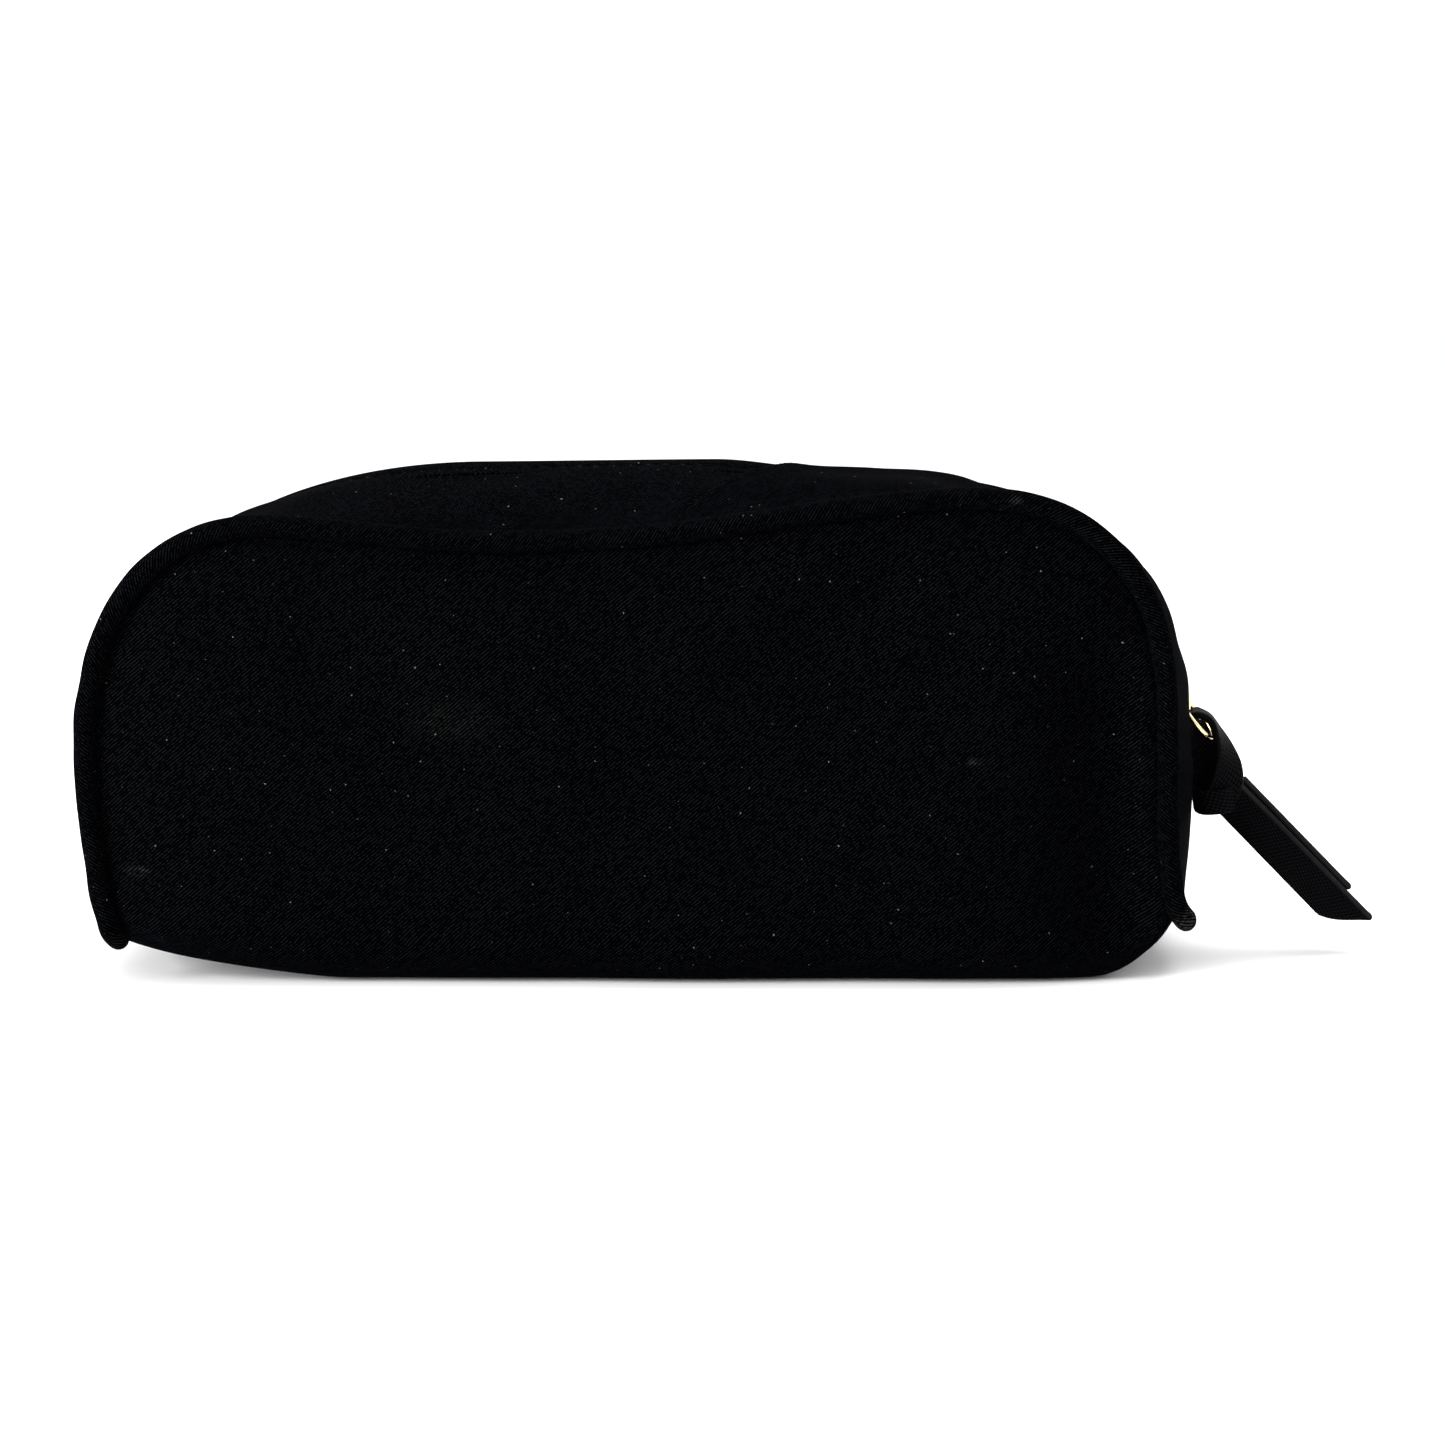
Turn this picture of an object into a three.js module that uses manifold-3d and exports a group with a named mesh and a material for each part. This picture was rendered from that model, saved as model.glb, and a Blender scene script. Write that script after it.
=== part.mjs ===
// A soft makeup bag: piped front and back walls, a gusset that carries the zip over the top and
// both shoulders, a folded base, a full lining, and a knotted leather pull on the zip slider.
// Millimetres. +X is the wearer's right as the front is seen, -Y is the front, +Z is up, and the
// origin is the middle of the face that the bag rests on.
import * as THREE from "three";
import { mergeVertices } from "three/addons/utils/BufferGeometryUtils.js";
import Module from "manifold-3d";

const wasm = await Module();
wasm.setup();

// ---------------------------------------------------------------- driving dimensions
const HALF_DEPTH = 31; // centre of either piping from the middle plane
const PIPING_R = 2;
const PIPING_CLEAR = 2.4; // centre of the piping to the cloth beside it
const WALL_FOOT = 9.5; // height of the fold line where a wall meets the base
const CLOTH = 1.2; // outer cloth with its backing
const INTERLINING = 1.4;
const LINING = 0.7;
const GAP = 0.4; // between one layer and the next

const ZIP_TOP = 92; // height of the zip along the top
const ZIP_ARC = { x: 54, z: 44, r: 48 }; // right shoulder of the zip, a true circle for the slider
const ZIP_LEFT = { x: -30, z: 44, a: 74, b: 48 }; // left shoulder of the zip, a quarter ellipse
const ZIP_START = 0.085; // share of the gusset's length where the zip begins, on the left
const ZIP_END = 0.905; // and where it ends, on the right
const FOLD_EDGE = 4.6; // gusset's turned edge from the middle plane
const TAPE = { inner: 2.4, outer: 8, top: -1.8, bottom: -2.5 };
const COIL = { inner: 0.6, outer: 2.1, top: -1.2, bottom: -2.6 };

const SLIDER_ANGLE = THREE.MathUtils.degToRad(5); // where the slider stands on its arc when closed
const SLIDER = { length: 8.4, nose: 8, tail: 6.4, inside: -0.7, floor: -3.1, plate: 1.1, post: 0.6 };
const BRIDGE = { length: 6.2, height: 2.5, width: 1.8, wall: 0.75 };
const RING = { r: 4.2, wire: 0.65, width: 1.16 }; // width stretches it along Y
const RING_DROP = THREE.MathUtils.degToRad(49); // its slope below level
const STRAP = { width: 6.4, loopThick: 1.4, tailThick: 1.9, tailGap: 0.6 };
const STRAP_DROP = THREE.MathUtils.degToRad(45); // the tails' slope below level
const STRAP_ROLL = THREE.MathUtils.degToRad(30); // their upper edges lean to the front
const STRAP_ROOT = new THREE.Vector3(113.3, 0, 29.3); // where the two tails leave the knot
const TAIL_LENGTH = { front: 33.8, back: 28.2 };
const KNOT = { centre: new THREE.Vector3(109.3, 0, 31.8), radii: [4.1, 4.2, 3.9] };

const BLACK_TWILL = { color: 0x0b0c10, roughness: 0.85, metalness: 0 };
const BLACK_LINING = { color: 0x121316, roughness: 0.7, metalness: 0 };
const GREY_FELT = { color: 0x3a3a3c, roughness: 0.95, metalness: 0 };
const BLACK_LEATHER = { color: 0x0d0e10, roughness: 0.55, metalness: 0 };
const PALE_GOLD = { color: 0xd9c48a, roughness: 0.25, metalness: 1 };
const BLACK_NYLON = { color: 0x08080a, roughness: 0.45, metalness: 0 };
const BOARD = { color: 0x2a2a2c, roughness: 0.8, metalness: 0 };

// ---------------------------------------------------------------- geometry helpers
const lerp = THREE.MathUtils.lerp;
const bag = new THREE.Group();

function add(name, geometry, look) {
  const mesh = new THREE.Mesh(geometry, new THREE.MeshStandardMaterial(look));
  mesh.name = name;
  bag.add(mesh);
  return mesh;
}

// The same piece on the back of the bag, mirrored through the middle plane.
function mirrored(name, mesh) {
  const twin = new THREE.Mesh(mesh.geometry, mesh.material.clone());
  twin.name = name;
  twin.scale.y = -1;
  bag.add(twin);
}

// Turns the faces round if they point inwards.
function facingOut(geometry) {
  const g = geometry.index ? geometry : mergeVertices(geometry);
  const p = g.getAttribute("position");
  const index = g.index.array;
  const [a, b, c] = [new THREE.Vector3(), new THREE.Vector3(), new THREE.Vector3()];
  let volume = 0;
  for (let i = 0; i < index.length; i += 3) {
    a.fromBufferAttribute(p, index[i]);
    b.fromBufferAttribute(p, index[i + 1]);
    c.fromBufferAttribute(p, index[i + 2]);
    volume += a.dot(b.cross(c));
  }
  if (volume < 0) {
    for (let i = 0; i < index.length; i += 3) {
      [index[i + 1], index[i + 2]] = [index[i + 2], index[i + 1]];
    }
  }
  g.computeVertexNormals();
  return g;
}

function welded(geometry) {
  const g = geometry.clone();
  g.deleteAttribute("normal");
  g.deleteAttribute("uv");
  return mergeVertices(g, 1e-3);
}

function toSolid(geometry) {
  const g = facingOut(welded(geometry));
  return new wasm.Manifold(
    new wasm.Mesh({
      numProp: 3,
      vertProperties: new Float32Array(g.getAttribute("position").array),
      triVerts: new Uint32Array(g.index.array),
    }),
  );
}

function toGeometry(solid) {
  const made = solid.getMesh();
  const g = new THREE.BufferGeometry();
  g.setAttribute("position", new THREE.BufferAttribute(new Float32Array(made.vertProperties), 3));
  g.setIndex(new THREE.BufferAttribute(new Uint32Array(made.triVerts), 1));
  g.computeVertexNormals();
  return g;
}

function joined(...geometries) {
  return toGeometry(geometries.map(toSolid).reduce((whole, next) => whole.add(next)));
}

// A sheet bent over surface(s, t), from inner to outer along the surface's outward normal.
function bentSheet(surface, inner, outer, alongCount, acrossCount) {
  const g = new THREE.BoxGeometry(1, 1, 1, alongCount, acrossCount, 1);
  const p = g.getAttribute("position");
  const step = 1e-3;
  for (let i = 0; i < p.count; i++) {
    const s = p.getX(i) + 0.5;
    const t = p.getY(i) + 0.5;
    const here = surface(s, t);
    const along = surface(s + step, t).sub(surface(s - step, t));
    const across = surface(s, t + step).sub(surface(s, t - step));
    const normal = along.cross(across).normalize();
    here.addScaledVector(normal, lerp(inner, outer, p.getZ(i) + 0.5));
    p.setXYZ(i, here.x, here.y, here.z);
  }
  return facingOut(welded(g));
}

// A domed panel: a disc whose rim is pulled out to rim(u) and whose middle stands proud by dome.
function domedPanel(rim, y, thickness, dome, around, rings) {
  const centre = new THREE.Vector2(0, 46);
  const share = Array.from({ length: rings + 1 }, (_, i) => i / rings);
  const front = share.map((r) => new THREE.Vector2(r, 0));
  const back = share.map((r) => new THREE.Vector2(r, 1)).reverse();
  const g = new THREE.LatheGeometry([...front, ...back], around);
  const p = g.getAttribute("position");
  for (let i = 0; i < p.count; i++) {
    const r = Math.hypot(p.getX(i), p.getZ(i));
    const u = (Math.atan2(p.getX(i), p.getZ(i)) / (2 * Math.PI) + 1) % 1;
    const edge = rim(Math.abs(u - 1) < 1e-6 ? 0 : u);
    const rise = dome * (1 - r * r);
    p.setXYZ(
      i,
      lerp(centre.x, edge.x, r),
      y - rise + thickness * p.getY(i),
      lerp(centre.y, edge.y, r),
    );
  }
  return facingOut(welded(g));
}

// ---------------------------------------------------------------- outlines, seen from the front
// The piping's centre line, from the foot on the left, over the top, to the foot on the right.
function pipingOutline() {
  const path = new THREE.Path();
  path.moveTo(-98.8, WALL_FOOT);
  path.bezierCurveTo(-101.2, 22, -102.5, 36, -102.5, 53);
  path.absarc(-70, 53, 32.5, Math.PI, Math.PI / 2, true);
  path.bezierCurveTo(-48, 85.5, -40, 82.3, -19, 82.3);
  path.bezierCurveTo(12, 82.3, 32, 89.7, 60, 89.7);
  path.absarc(60, 52.2, 37.5, Math.PI / 2, 0, true);
  path.bezierCurveTo(97.5, 36, 97, 24, 100.2, WALL_FOOT);
  return path;
}

// The line of the zip and, below its ends, the middle of each side.
function zipOutline() {
  const path = new THREE.Path();
  path.moveTo(-99.5, 7);
  path.bezierCurveTo(-102.5, 18, -104, 30, ZIP_LEFT.x - ZIP_LEFT.a, ZIP_LEFT.z);
  path.absellipse(ZIP_LEFT.x, ZIP_LEFT.z, ZIP_LEFT.a, ZIP_LEFT.b, Math.PI, Math.PI / 2, true, 0);
  path.lineTo(ZIP_ARC.x, ZIP_TOP);
  path.absarc(ZIP_ARC.x, ZIP_ARC.z, ZIP_ARC.r, Math.PI / 2, 0, true);
  path.bezierCurveTo(ZIP_ARC.x + ZIP_ARC.r, 32, 101.5, 18, 100, 7);
  return path;
}

const piping = pipingOutline();
const zip = zipOutline();
piping.arcLengthDivisions = 2000;
zip.arcLengthDivisions = 2000;

function pointOn(path, s) {
  return path.getPointAt(THREE.MathUtils.clamp(s, 0, 1));
}

// Outward normal of an outline that runs clockwise.
function outwardOf(path, s) {
  const tangent = path.getTangentAt(THREE.MathUtils.clamp(s, 0, 1));
  return new THREE.Vector2(-tangent.y, tangent.x);
}

// A point beside an outline, moved out (or in, if negative) and set at depth y.
function beside(path, s, out, y) {
  const p = pointOn(path, s).addScaledVector(outwardOf(path, s), out);
  return new THREE.Vector3(p.x, y, p.y);
}

// The gusset's outer face, t from the front piping (0) to the middle plane (1).
const SEAM_SINK = 0.6; // the seam sits a little below the piping's centre
const PUFF = { top: 1.2, side: 2 };
function gussetFace(s, t) {
  const seam = beside(piping, s, -SEAM_SINK, 0);
  const crown = beside(zip, s, 0, 0);
  const out = outwardOf(zip, s);
  const puff = (PUFF.top + PUFF.side * Math.abs(out.x)) * Math.sin(Math.PI * Math.min(t, 1));
  const share = Math.sin((Math.min(Math.abs(t), 1) * Math.PI) / 2);
  return new THREE.Vector3(
    lerp(seam.x, crown.x, share) + puff * out.x,
    lerp(PIPING_CLEAR - HALF_DEPTH, 0, t),
    lerp(seam.z, crown.z, share) + puff * out.y,
  );
}

const zipShare = (s) => lerp(ZIP_START, ZIP_END, s);
const foldShare = 1 - FOLD_EDGE / (HALF_DEPTH - PIPING_CLEAR);

// The rim of a wall, pulled in from the piping by inset: over the top for most of u, then along
// the foot.
function wallRim(inset) {
  const OVER = 0.78;
  const first = beside(piping, 0, -inset, 0);
  const last = beside(piping, 1, -inset, 0);
  return (u) => {
    if (u < OVER) {
      const p = beside(piping, u / OVER, -inset, 0);
      return new THREE.Vector2(p.x, Math.max(p.z, WALL_FOOT + 0.3));
    }
    const back = (u - OVER) / (1 - OVER);
    return new THREE.Vector2(lerp(last.x, first.x, back), WALL_FOOT + 0.3);
  };
}

// ---------------------------------------------------------------- front and back walls
const WALL_DOME = 4.5;
function makeWalls() {
  const wallY = -HALF_DEPTH - 0.6;
  const feltY = wallY + CLOTH + GAP;
  const liningY = feltY + INTERLINING + GAP;
  const panel = domedPanel(wallRim(PIPING_CLEAR), wallY, CLOTH, WALL_DOME, 44, 5);
  const felt = domedPanel(wallRim(5), feltY, INTERLINING, WALL_DOME, 32, 3);
  const lining = domedPanel(wallRim(5.6), liningY, LINING, WALL_DOME, 32, 3);
  mirrored("back_panel", add("front_panel", panel, BLACK_TWILL));
  mirrored("back_interlining", add("front_interlining", felt, GREY_FELT));
  mirrored("back_lining", add("front_lining", lining, BLACK_LINING));
}

function makePiping() {
  const line = new THREE.CatmullRomCurve3(
    Array.from({ length: 41 }, (_, i) => beside(piping, lerp(0.004, 0.996, i / 40), 0, -HALF_DEPTH)),
  );
  const section = new THREE.Shape().absarc(0, 0, PIPING_R, 0, 2 * Math.PI);
  const tube = new THREE.ExtrudeGeometry(section, {
    extrudePath: line,
    steps: 56,
    curveSegments: 4,
  });
  mirrored("back_piping", add("front_piping", tube, BLACK_TWILL));
}

// ---------------------------------------------------------------- gusset, sides and base
function makeGusset() {
  const face = (s, t) => gussetFace(zipShare(s), t * foldShare);
  const shell = bentSheet(face, -CLOTH, 0, 48, 4);
  mirrored("back_gusset", add("front_gusset", shell, BLACK_TWILL));

  const inside = (s, t) => gussetFace(zipShare(lerp(0.01, 0.99, s)), lerp(0.02, 0.64, t));
  const lining = bentSheet(inside, -CLOTH - GAP - LINING, -CLOTH - GAP, 36, 2);
  mirrored("back_gusset_lining", add("front_gusset_lining", lining, BLACK_LINING));
}

function makeSides() {
  const seamGap = 0.3 / 330; // a seam's width as a share of the gusset's length
  const ends = { left: [0, ZIP_START - seamGap], right: [1, ZIP_END + seamGap] };
  for (const [side, [foot, top]] of Object.entries(ends)) {
    // t runs across the whole depth, so that the face is crowned at the middle plane.
    const face = (s, t) => {
      const across = 2 * t - 1;
      const p = gussetFace(lerp(foot, top, s), 1 - Math.abs(across));
      p.y = (HALF_DEPTH - PIPING_CLEAR) * across;
      return p;
    };
    const oriented = side === "left" ? face : (s, t) => face(1 - s, t);
    add(`${side}_side_panel`, bentSheet(oriented, -CLOTH, 0, 4, 12), BLACK_TWILL);
    const inside = (s, t) => oriented(lerp(0.12, 0.98, s), lerp(0.03, 0.97, t));
    const lining = bentSheet(inside, -CLOTH - GAP - LINING, -CLOTH - GAP, 3, 8);
    add(`${side}_side_lining`, lining, BLACK_LINING);
  }
}

// The base is a tray: flat where it rests, rounded up to the fold lines, its ends lifting.
const BASE = { left: -97.2, right: 98.6, flatLeft: -64, flatRight: 82, corner: 8 };
const LIFT = { left: 5, right: 6.5 };
function baseFace(x, v, inset) {
  const r = BASE.corner;
  const edge = HALF_DEPTH + 0.6 - inset;
  const flat = 2 * (edge - r);
  const arc = (Math.PI / 2) * r;
  const wall = WALL_FOOT - 0.3 - r;
  const d = v * (flat + 2 * arc + 2 * wall) - wall;
  let y = -edge;
  let z = r - d;
  if (d > 0 && d <= arc) {
    const a = d / r;
    y = -edge + r * (1 - Math.cos(a));
    z = r * (1 - Math.sin(a));
  } else if (d > arc && d <= arc + flat) {
    y = -edge + r + d - arc;
    z = 0;
  } else if (d > arc + flat && d <= 2 * arc + flat) {
    const a = (d - arc - flat) / r;
    y = edge - r * (1 - Math.sin(a));
    z = r * (1 - Math.cos(a));
  } else if (d > 2 * arc + flat) {
    y = edge;
    z = r + d - 2 * arc - flat;
  }
  const over = Math.max((BASE.flatLeft - x) / (BASE.flatLeft - BASE.left), 0);
  const beyond = Math.max((x - BASE.flatRight) / (BASE.right - BASE.flatRight), 0);
  const lift = LIFT.left * over * over + LIFT.right * beyond * beyond;
  return new THREE.Vector3(x, y, z + lift * (1 - Math.min(z / WALL_FOOT, 1)));
}

// Stations along X: a few over each lifted end and one flat stretch between.
function stationsAlong(s, left, right) {
  const END = 0.3;
  if (s < END) return lerp(left, BASE.flatLeft, s / END);
  if (s > 1 - END) return lerp(BASE.flatRight, right, (s - 1 + END) / END);
  return lerp(BASE.flatLeft, BASE.flatRight, (s - END) / (1 - 2 * END));
}

// Places across the tray, with the flat floor as one stretch between two rounded edges.
function stationsAcross(t, inset) {
  const r = BASE.corner;
  const edge = HALF_DEPTH + 0.6 - inset;
  const arc = (Math.PI / 2) * r;
  const wall = WALL_FOOT - 0.3 - r;
  const whole = 2 * (edge - r) + 2 * arc + 2 * wall;
  const rounded = (arc + wall) / whole;
  const EDGE = 0.4;
  if (t < EDGE) return lerp(0, rounded, t / EDGE);
  if (t > 1 - EDGE) return lerp(1 - rounded, 1, (t - 1 + EDGE) / EDGE);
  return lerp(rounded, 1 - rounded, (t - EDGE) / (1 - 2 * EDGE));
}

function makeBase() {
  const face = (inset) => (s, t) =>
    baseFace(stationsAlong(1 - s, BASE.left + inset, BASE.right - inset), stationsAcross(t, 0), 0);
  add("base_panel", bentSheet(face(0), -CLOTH, 0, 10, 10), BLACK_TWILL);

  const board = new THREE.BoxGeometry(134, 42, 1.2).translate(9, 0, CLOTH + GAP + 0.6);
  add("base_board", board, BOARD);

  const depth = CLOTH + GAP + 1.2 + GAP;
  const lining = bentSheet(face(6), -depth - LINING, -depth, 10, 10);
  add("base_lining", lining, BLACK_LINING);
}

// ---------------------------------------------------------------- zip
// A strip beside the zip's line, from y = -outer to y = -inner and from bottom to top above it.
function zipStrip({ inner, outer, top, bottom }, from, to, count) {
  const face = (s, t) => beside(zip, lerp(from, to, s), 0, lerp(-outer, -inner, t));
  return bentSheet(face, bottom, top, count, 1);
}

function makeZip() {
  const tape = zipStrip(TAPE, ZIP_START + 0.004, ZIP_END - 0.004, 52);
  const coil = zipStrip(COIL, ZIP_START + 0.024, ZIP_END - 0.0185, 52);
  mirrored("back_zip_tape", add("front_zip_tape", tape, BLACK_NYLON));
  mirrored("back_zip_coil", add("front_zip_coil", coil, BLACK_NYLON));

  const stop = zipStrip({ ...COIL, top: -1.05, bottom: -2.75 }, ZIP_END - 0.0165, ZIP_END - 0.0105, 1);
  mirrored("back_top_stop", add("front_top_stop", stop, PALE_GOLD));

  const across = (s, t) => beside(zip, ZIP_START + lerp(0.012, 0.021, s), 0, lerp(-1.9, 1.9, t));
  add("zip_bottom_stop", bentSheet(across, -2.75, -1.05, 1, 1), PALE_GOLD);
}

// ---------------------------------------------------------------- slider
// The slider is drawn with +Z up its arc, +X away from the bag and its middle on the zip's line,
// then set on the arc.
function onSlider(geometry) {
  const { x, z, r } = ZIP_ARC;
  return geometry
    .translate(r, 0, 0)
    .rotateY(-SLIDER_ANGLE)
    .translate(x, 0, z);
}

function sliderPlate(thickness) {
  const half = SLIDER.length / 2;
  const outline = new THREE.Shape();
  outline.moveTo(-SLIDER.tail / 2, half - 1);
  outline.quadraticCurveTo(-SLIDER.tail / 2, half, 1 - SLIDER.tail / 2, half);
  outline.lineTo(SLIDER.tail / 2 - 1, half);
  outline.quadraticCurveTo(SLIDER.tail / 2, half, SLIDER.tail / 2, half - 1);
  outline.lineTo(SLIDER.nose / 2, -half * 0.3);
  outline.quadraticCurveTo(SLIDER.nose / 2, -half, 1, -half);
  outline.lineTo(-1, -half);
  outline.quadraticCurveTo(-SLIDER.nose / 2, -half, -SLIDER.nose / 2, -half * 0.3);
  outline.closePath();
  const plate = new THREE.ExtrudeGeometry(outline, {
    depth: thickness,
    bevelEnabled: false,
    curveSegments: 4,
  });
  // The outline's x becomes Y, its y becomes Z and its depth runs along X.
  return plate.rotateZ(Math.PI / 2).rotateY(Math.PI / 2);
}

function makeSlider() {
  const { inside, floor, plate, post, length, tail } = SLIDER;
  const lips = [-1, 1].flatMap((side) => [
    new THREE.BoxGeometry(0.25, 0.6, length * 0.6)
      .translate(inside - 0.025, (side * (tail - 0.7)) / 2, 0.6),
    new THREE.BoxGeometry(0.25, 0.6, length * 0.6)
      .translate(floor + 0.025, (side * (tail - 0.7)) / 2, 0.6),
  ]);
  const body = joined(
    sliderPlate(plate).translate(inside, 0, 0),
    sliderPlate(1).translate(floor - 1, 0, 0),
    new THREE.BoxGeometry(inside - floor + 0.4, post, 2.2)
      .translate((inside + floor) / 2, 0, -length / 2 + 1.9),
    ...lips,
  );
  add("slider_body", onSlider(body), PALE_GOLD);

  // The bridge is an arch over the top plate, along the zip, with the ring's wire under it.
  const { length: span, height, width, wall } = BRIDGE;
  const arch = new THREE.Shape();
  arch.moveTo(-span / 2, 0);
  arch.bezierCurveTo(-span / 2, height * 1.3, span / 2, height * 1.3, span / 2, 0);
  arch.lineTo(span / 2 - wall, 0);
  const under = height * 1.3 - wall * 1.35;
  arch.bezierCurveTo(span / 2 - wall, under, wall - span / 2, under, wall - span / 2, 0);
  arch.closePath();
  const bridge = new THREE.ExtrudeGeometry(arch, {
    depth: width,
    bevelEnabled: false,
    curveSegments: 8,
  });
  bridge
    .translate(0, 0, -width / 2)
    .rotateX(Math.PI / 2)
    .rotateY(Math.PI / 2)
    .translate(inside + plate + 0.3, 0, 0.2);
  add("slider_bridge", onSlider(bridge), PALE_GOLD);
}

// ---------------------------------------------------------------- ring, knot and tails
// Centre of the ring's wire under the bridge, and the ring's own way down.
const RING_HINGE = new THREE.Vector3(103.25, 0, 48.3);
const RING_DOWN = new THREE.Vector3(Math.cos(RING_DROP), 0, -Math.sin(RING_DROP));
const KNOT_HINGE = RING_HINGE.clone().addScaledVector(RING_DOWN, 2 * RING.r);

function makeRing() {
  const ring = new THREE.TorusGeometry(RING.r, RING.wire, 8, 30);
  // The torus lies across RING_DOWN and Y.
  ring.scale(1, RING.width, 1).rotateY(RING_DROP);
  const centre = RING_HINGE.clone().addScaledVector(RING_DOWN, RING.r);
  ring.translate(centre.x, 0, centre.z);
  add("pull_ring", ring, PALE_GOLD);
}

// The loop of strap round the ring, drawn in the XZ plane and as wide as the strap along Y.
function makeKnot() {
  const loop = new THREE.CatmullRomCurve3(
    [
      [108.2, 33.0],
      [106.2, 37.4],
      [105.7, 41.4],
      [106.2, 45.0],
      [107.6, 47.2],
      [110.2, 45.6],
      [112.6, 41.4],
      [113.6, 36.6],
      [111.4, 33.0],
    ].map(([x, z]) => new THREE.Vector3(x, 0, z)),
  );
  const section = new THREE.Shape();
  section.moveTo(-STRAP.width / 2, -STRAP.loopThick / 2);
  section.lineTo(STRAP.width / 2, -STRAP.loopThick / 2);
  section.lineTo(STRAP.width / 2, STRAP.loopThick / 2);
  section.lineTo(-STRAP.width / 2, STRAP.loopThick / 2);
  section.closePath();
  const band = new THREE.ExtrudeGeometry(section, { extrudePath: loop, steps: 22 });
  const lump = new THREE.SphereGeometry(1, 16, 10)
    .scale(...KNOT.radii)
    .translate(KNOT.centre.x, KNOT.centre.y, KNOT.centre.z);
  add("strap_knot", joined(band, lump), BLACK_LEATHER);
}

// A tail's outline runs along +X from its root, with its end cut on the slant.
function tailOutline(length) {
  const w = STRAP.width;
  const tail = new THREE.Shape();
  tail.moveTo(0, -w / 2);
  tail.lineTo(length - w * 0.95, -w / 2);
  tail.quadraticCurveTo(length - w * 0.6, -w / 2, length - w * 0.4, -w * 0.2);
  tail.lineTo(length, w * 0.36);
  tail.quadraticCurveTo(length + 0.3, w / 2, length - 1, w / 2);
  tail.lineTo(0, w / 2);
  tail.closePath();
  return tail;
}

// Each tail is drawn flat and set by the directions of its fall, its width and its front face.
function makeTail(name, length, side) {
  const strap = new THREE.ExtrudeGeometry(tailOutline(length), {
    depth: STRAP.tailThick,
    bevelEnabled: false,
    curveSegments: 4,
  });
  const fall = new THREE.Vector3(Math.cos(STRAP_DROP), 0, -Math.sin(STRAP_DROP));
  const level = new THREE.Vector3(Math.sin(STRAP_DROP), 0, Math.cos(STRAP_DROP));
  const width = level.multiplyScalar(Math.cos(STRAP_ROLL));
  width.y = -Math.sin(STRAP_ROLL);
  const facing = new THREE.Vector3().crossVectors(fall, width);
  const middle = (side * (STRAP.tailThick + STRAP.tailGap)) / 2;
  strap
    .translate(0, 0, middle - STRAP.tailThick / 2)
    .applyMatrix4(new THREE.Matrix4().makeBasis(fall, width, facing))
    .translate(STRAP_ROOT.x, STRAP_ROOT.y, STRAP_ROOT.z);
  add(name, strap, BLACK_LEATHER);
}

makeWalls();
makePiping();
makeGusset();
makeSides();
makeBase();
makeZip();
makeSlider();
makeRing();
makeKnot();
makeTail("front_strap_tail", TAIL_LENGTH.front, 1);
makeTail("back_strap_tail", TAIL_LENGTH.back, -1);

export default bag;
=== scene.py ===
"""A soft black makeup bag, piped round both walls, with a zip over its top and a knotted pull.

Lengths in this script are in millimetres, and become metres where a mesh is made. X runs along
the bag, -Y is the front and Z is up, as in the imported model.
"""

import math

import bpy
import numpy as np
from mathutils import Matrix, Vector


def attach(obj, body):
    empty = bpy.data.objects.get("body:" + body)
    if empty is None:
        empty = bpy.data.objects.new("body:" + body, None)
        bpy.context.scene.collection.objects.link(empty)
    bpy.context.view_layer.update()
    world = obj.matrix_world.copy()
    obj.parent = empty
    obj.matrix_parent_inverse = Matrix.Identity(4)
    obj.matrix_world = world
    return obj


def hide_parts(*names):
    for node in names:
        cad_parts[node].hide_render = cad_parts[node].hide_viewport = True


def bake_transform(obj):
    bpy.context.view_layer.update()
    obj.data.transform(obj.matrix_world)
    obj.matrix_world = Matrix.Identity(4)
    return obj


MM = 0.001

# ---------------------------------------------------------------- driving dimensions
HALF_DEPTH = 31.0  # centre of either piping from the middle plane
PIPING_RADIUS = 2.05
SEAM_Y = 29.2  # where panel and gusset meet, under the piping
GUSSET_EDGE = 29.8  # the gusset's raw edge, inside the piping
BASE_FLAT = (-55.0, 84.0)  # stretch of the base that touches the table
BASE_LIFT = (7.6, 11.4)  # rise of the base at its left and right ends
BASE_CORNER = 8.0  # radius of the fold between a wall and the base
BASE_SEAM = 24.0  # Y of the seam where the base meets the back wall
WALL_THICK = 1.0
SIDE_THICK = 0.8
GUSSET_THICK = 0.45
LINING_THICK = 0.4
TAPE_THICK = 0.5
FOLD_Y = 4.6  # gusset's turned edge from the middle plane
CREST = (  # height of the gusset's crest above the zip, by share of the zip's line
    (0.0, 2.2), (0.2, 2.1), (0.3, 3.1), (0.4, 2.9),
    (0.54, 3.1), (0.60, 1.2), (0.65, 0.8), (0.675, 0.1),
    (0.705, -1.2), (0.736, -1.2), (0.774, 1.5), (0.81, 2.6),
    (0.845, 1.5), (0.875, 1.5), (0.91, 2.1), (1.0, 1.7),
)
ZIP_SPAN = (0.085, 0.905)  # where the zip begins and ends, as shares of the gusset's length
COIL_PITCH = 1.25
COIL_WIRE = 0.29  # radius of the coil's wire
STITCH_ROW = 0.878  # topstitching, as a share of the way from the seam to the turned edge
STITCH_LENGTH = 2.5
STITCH_STEP = 3.3
THREAD_RADIUS = 0.27
BACK_CREASE = 0.25  # strength of the gusset's crease at the back, against the front's

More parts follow.
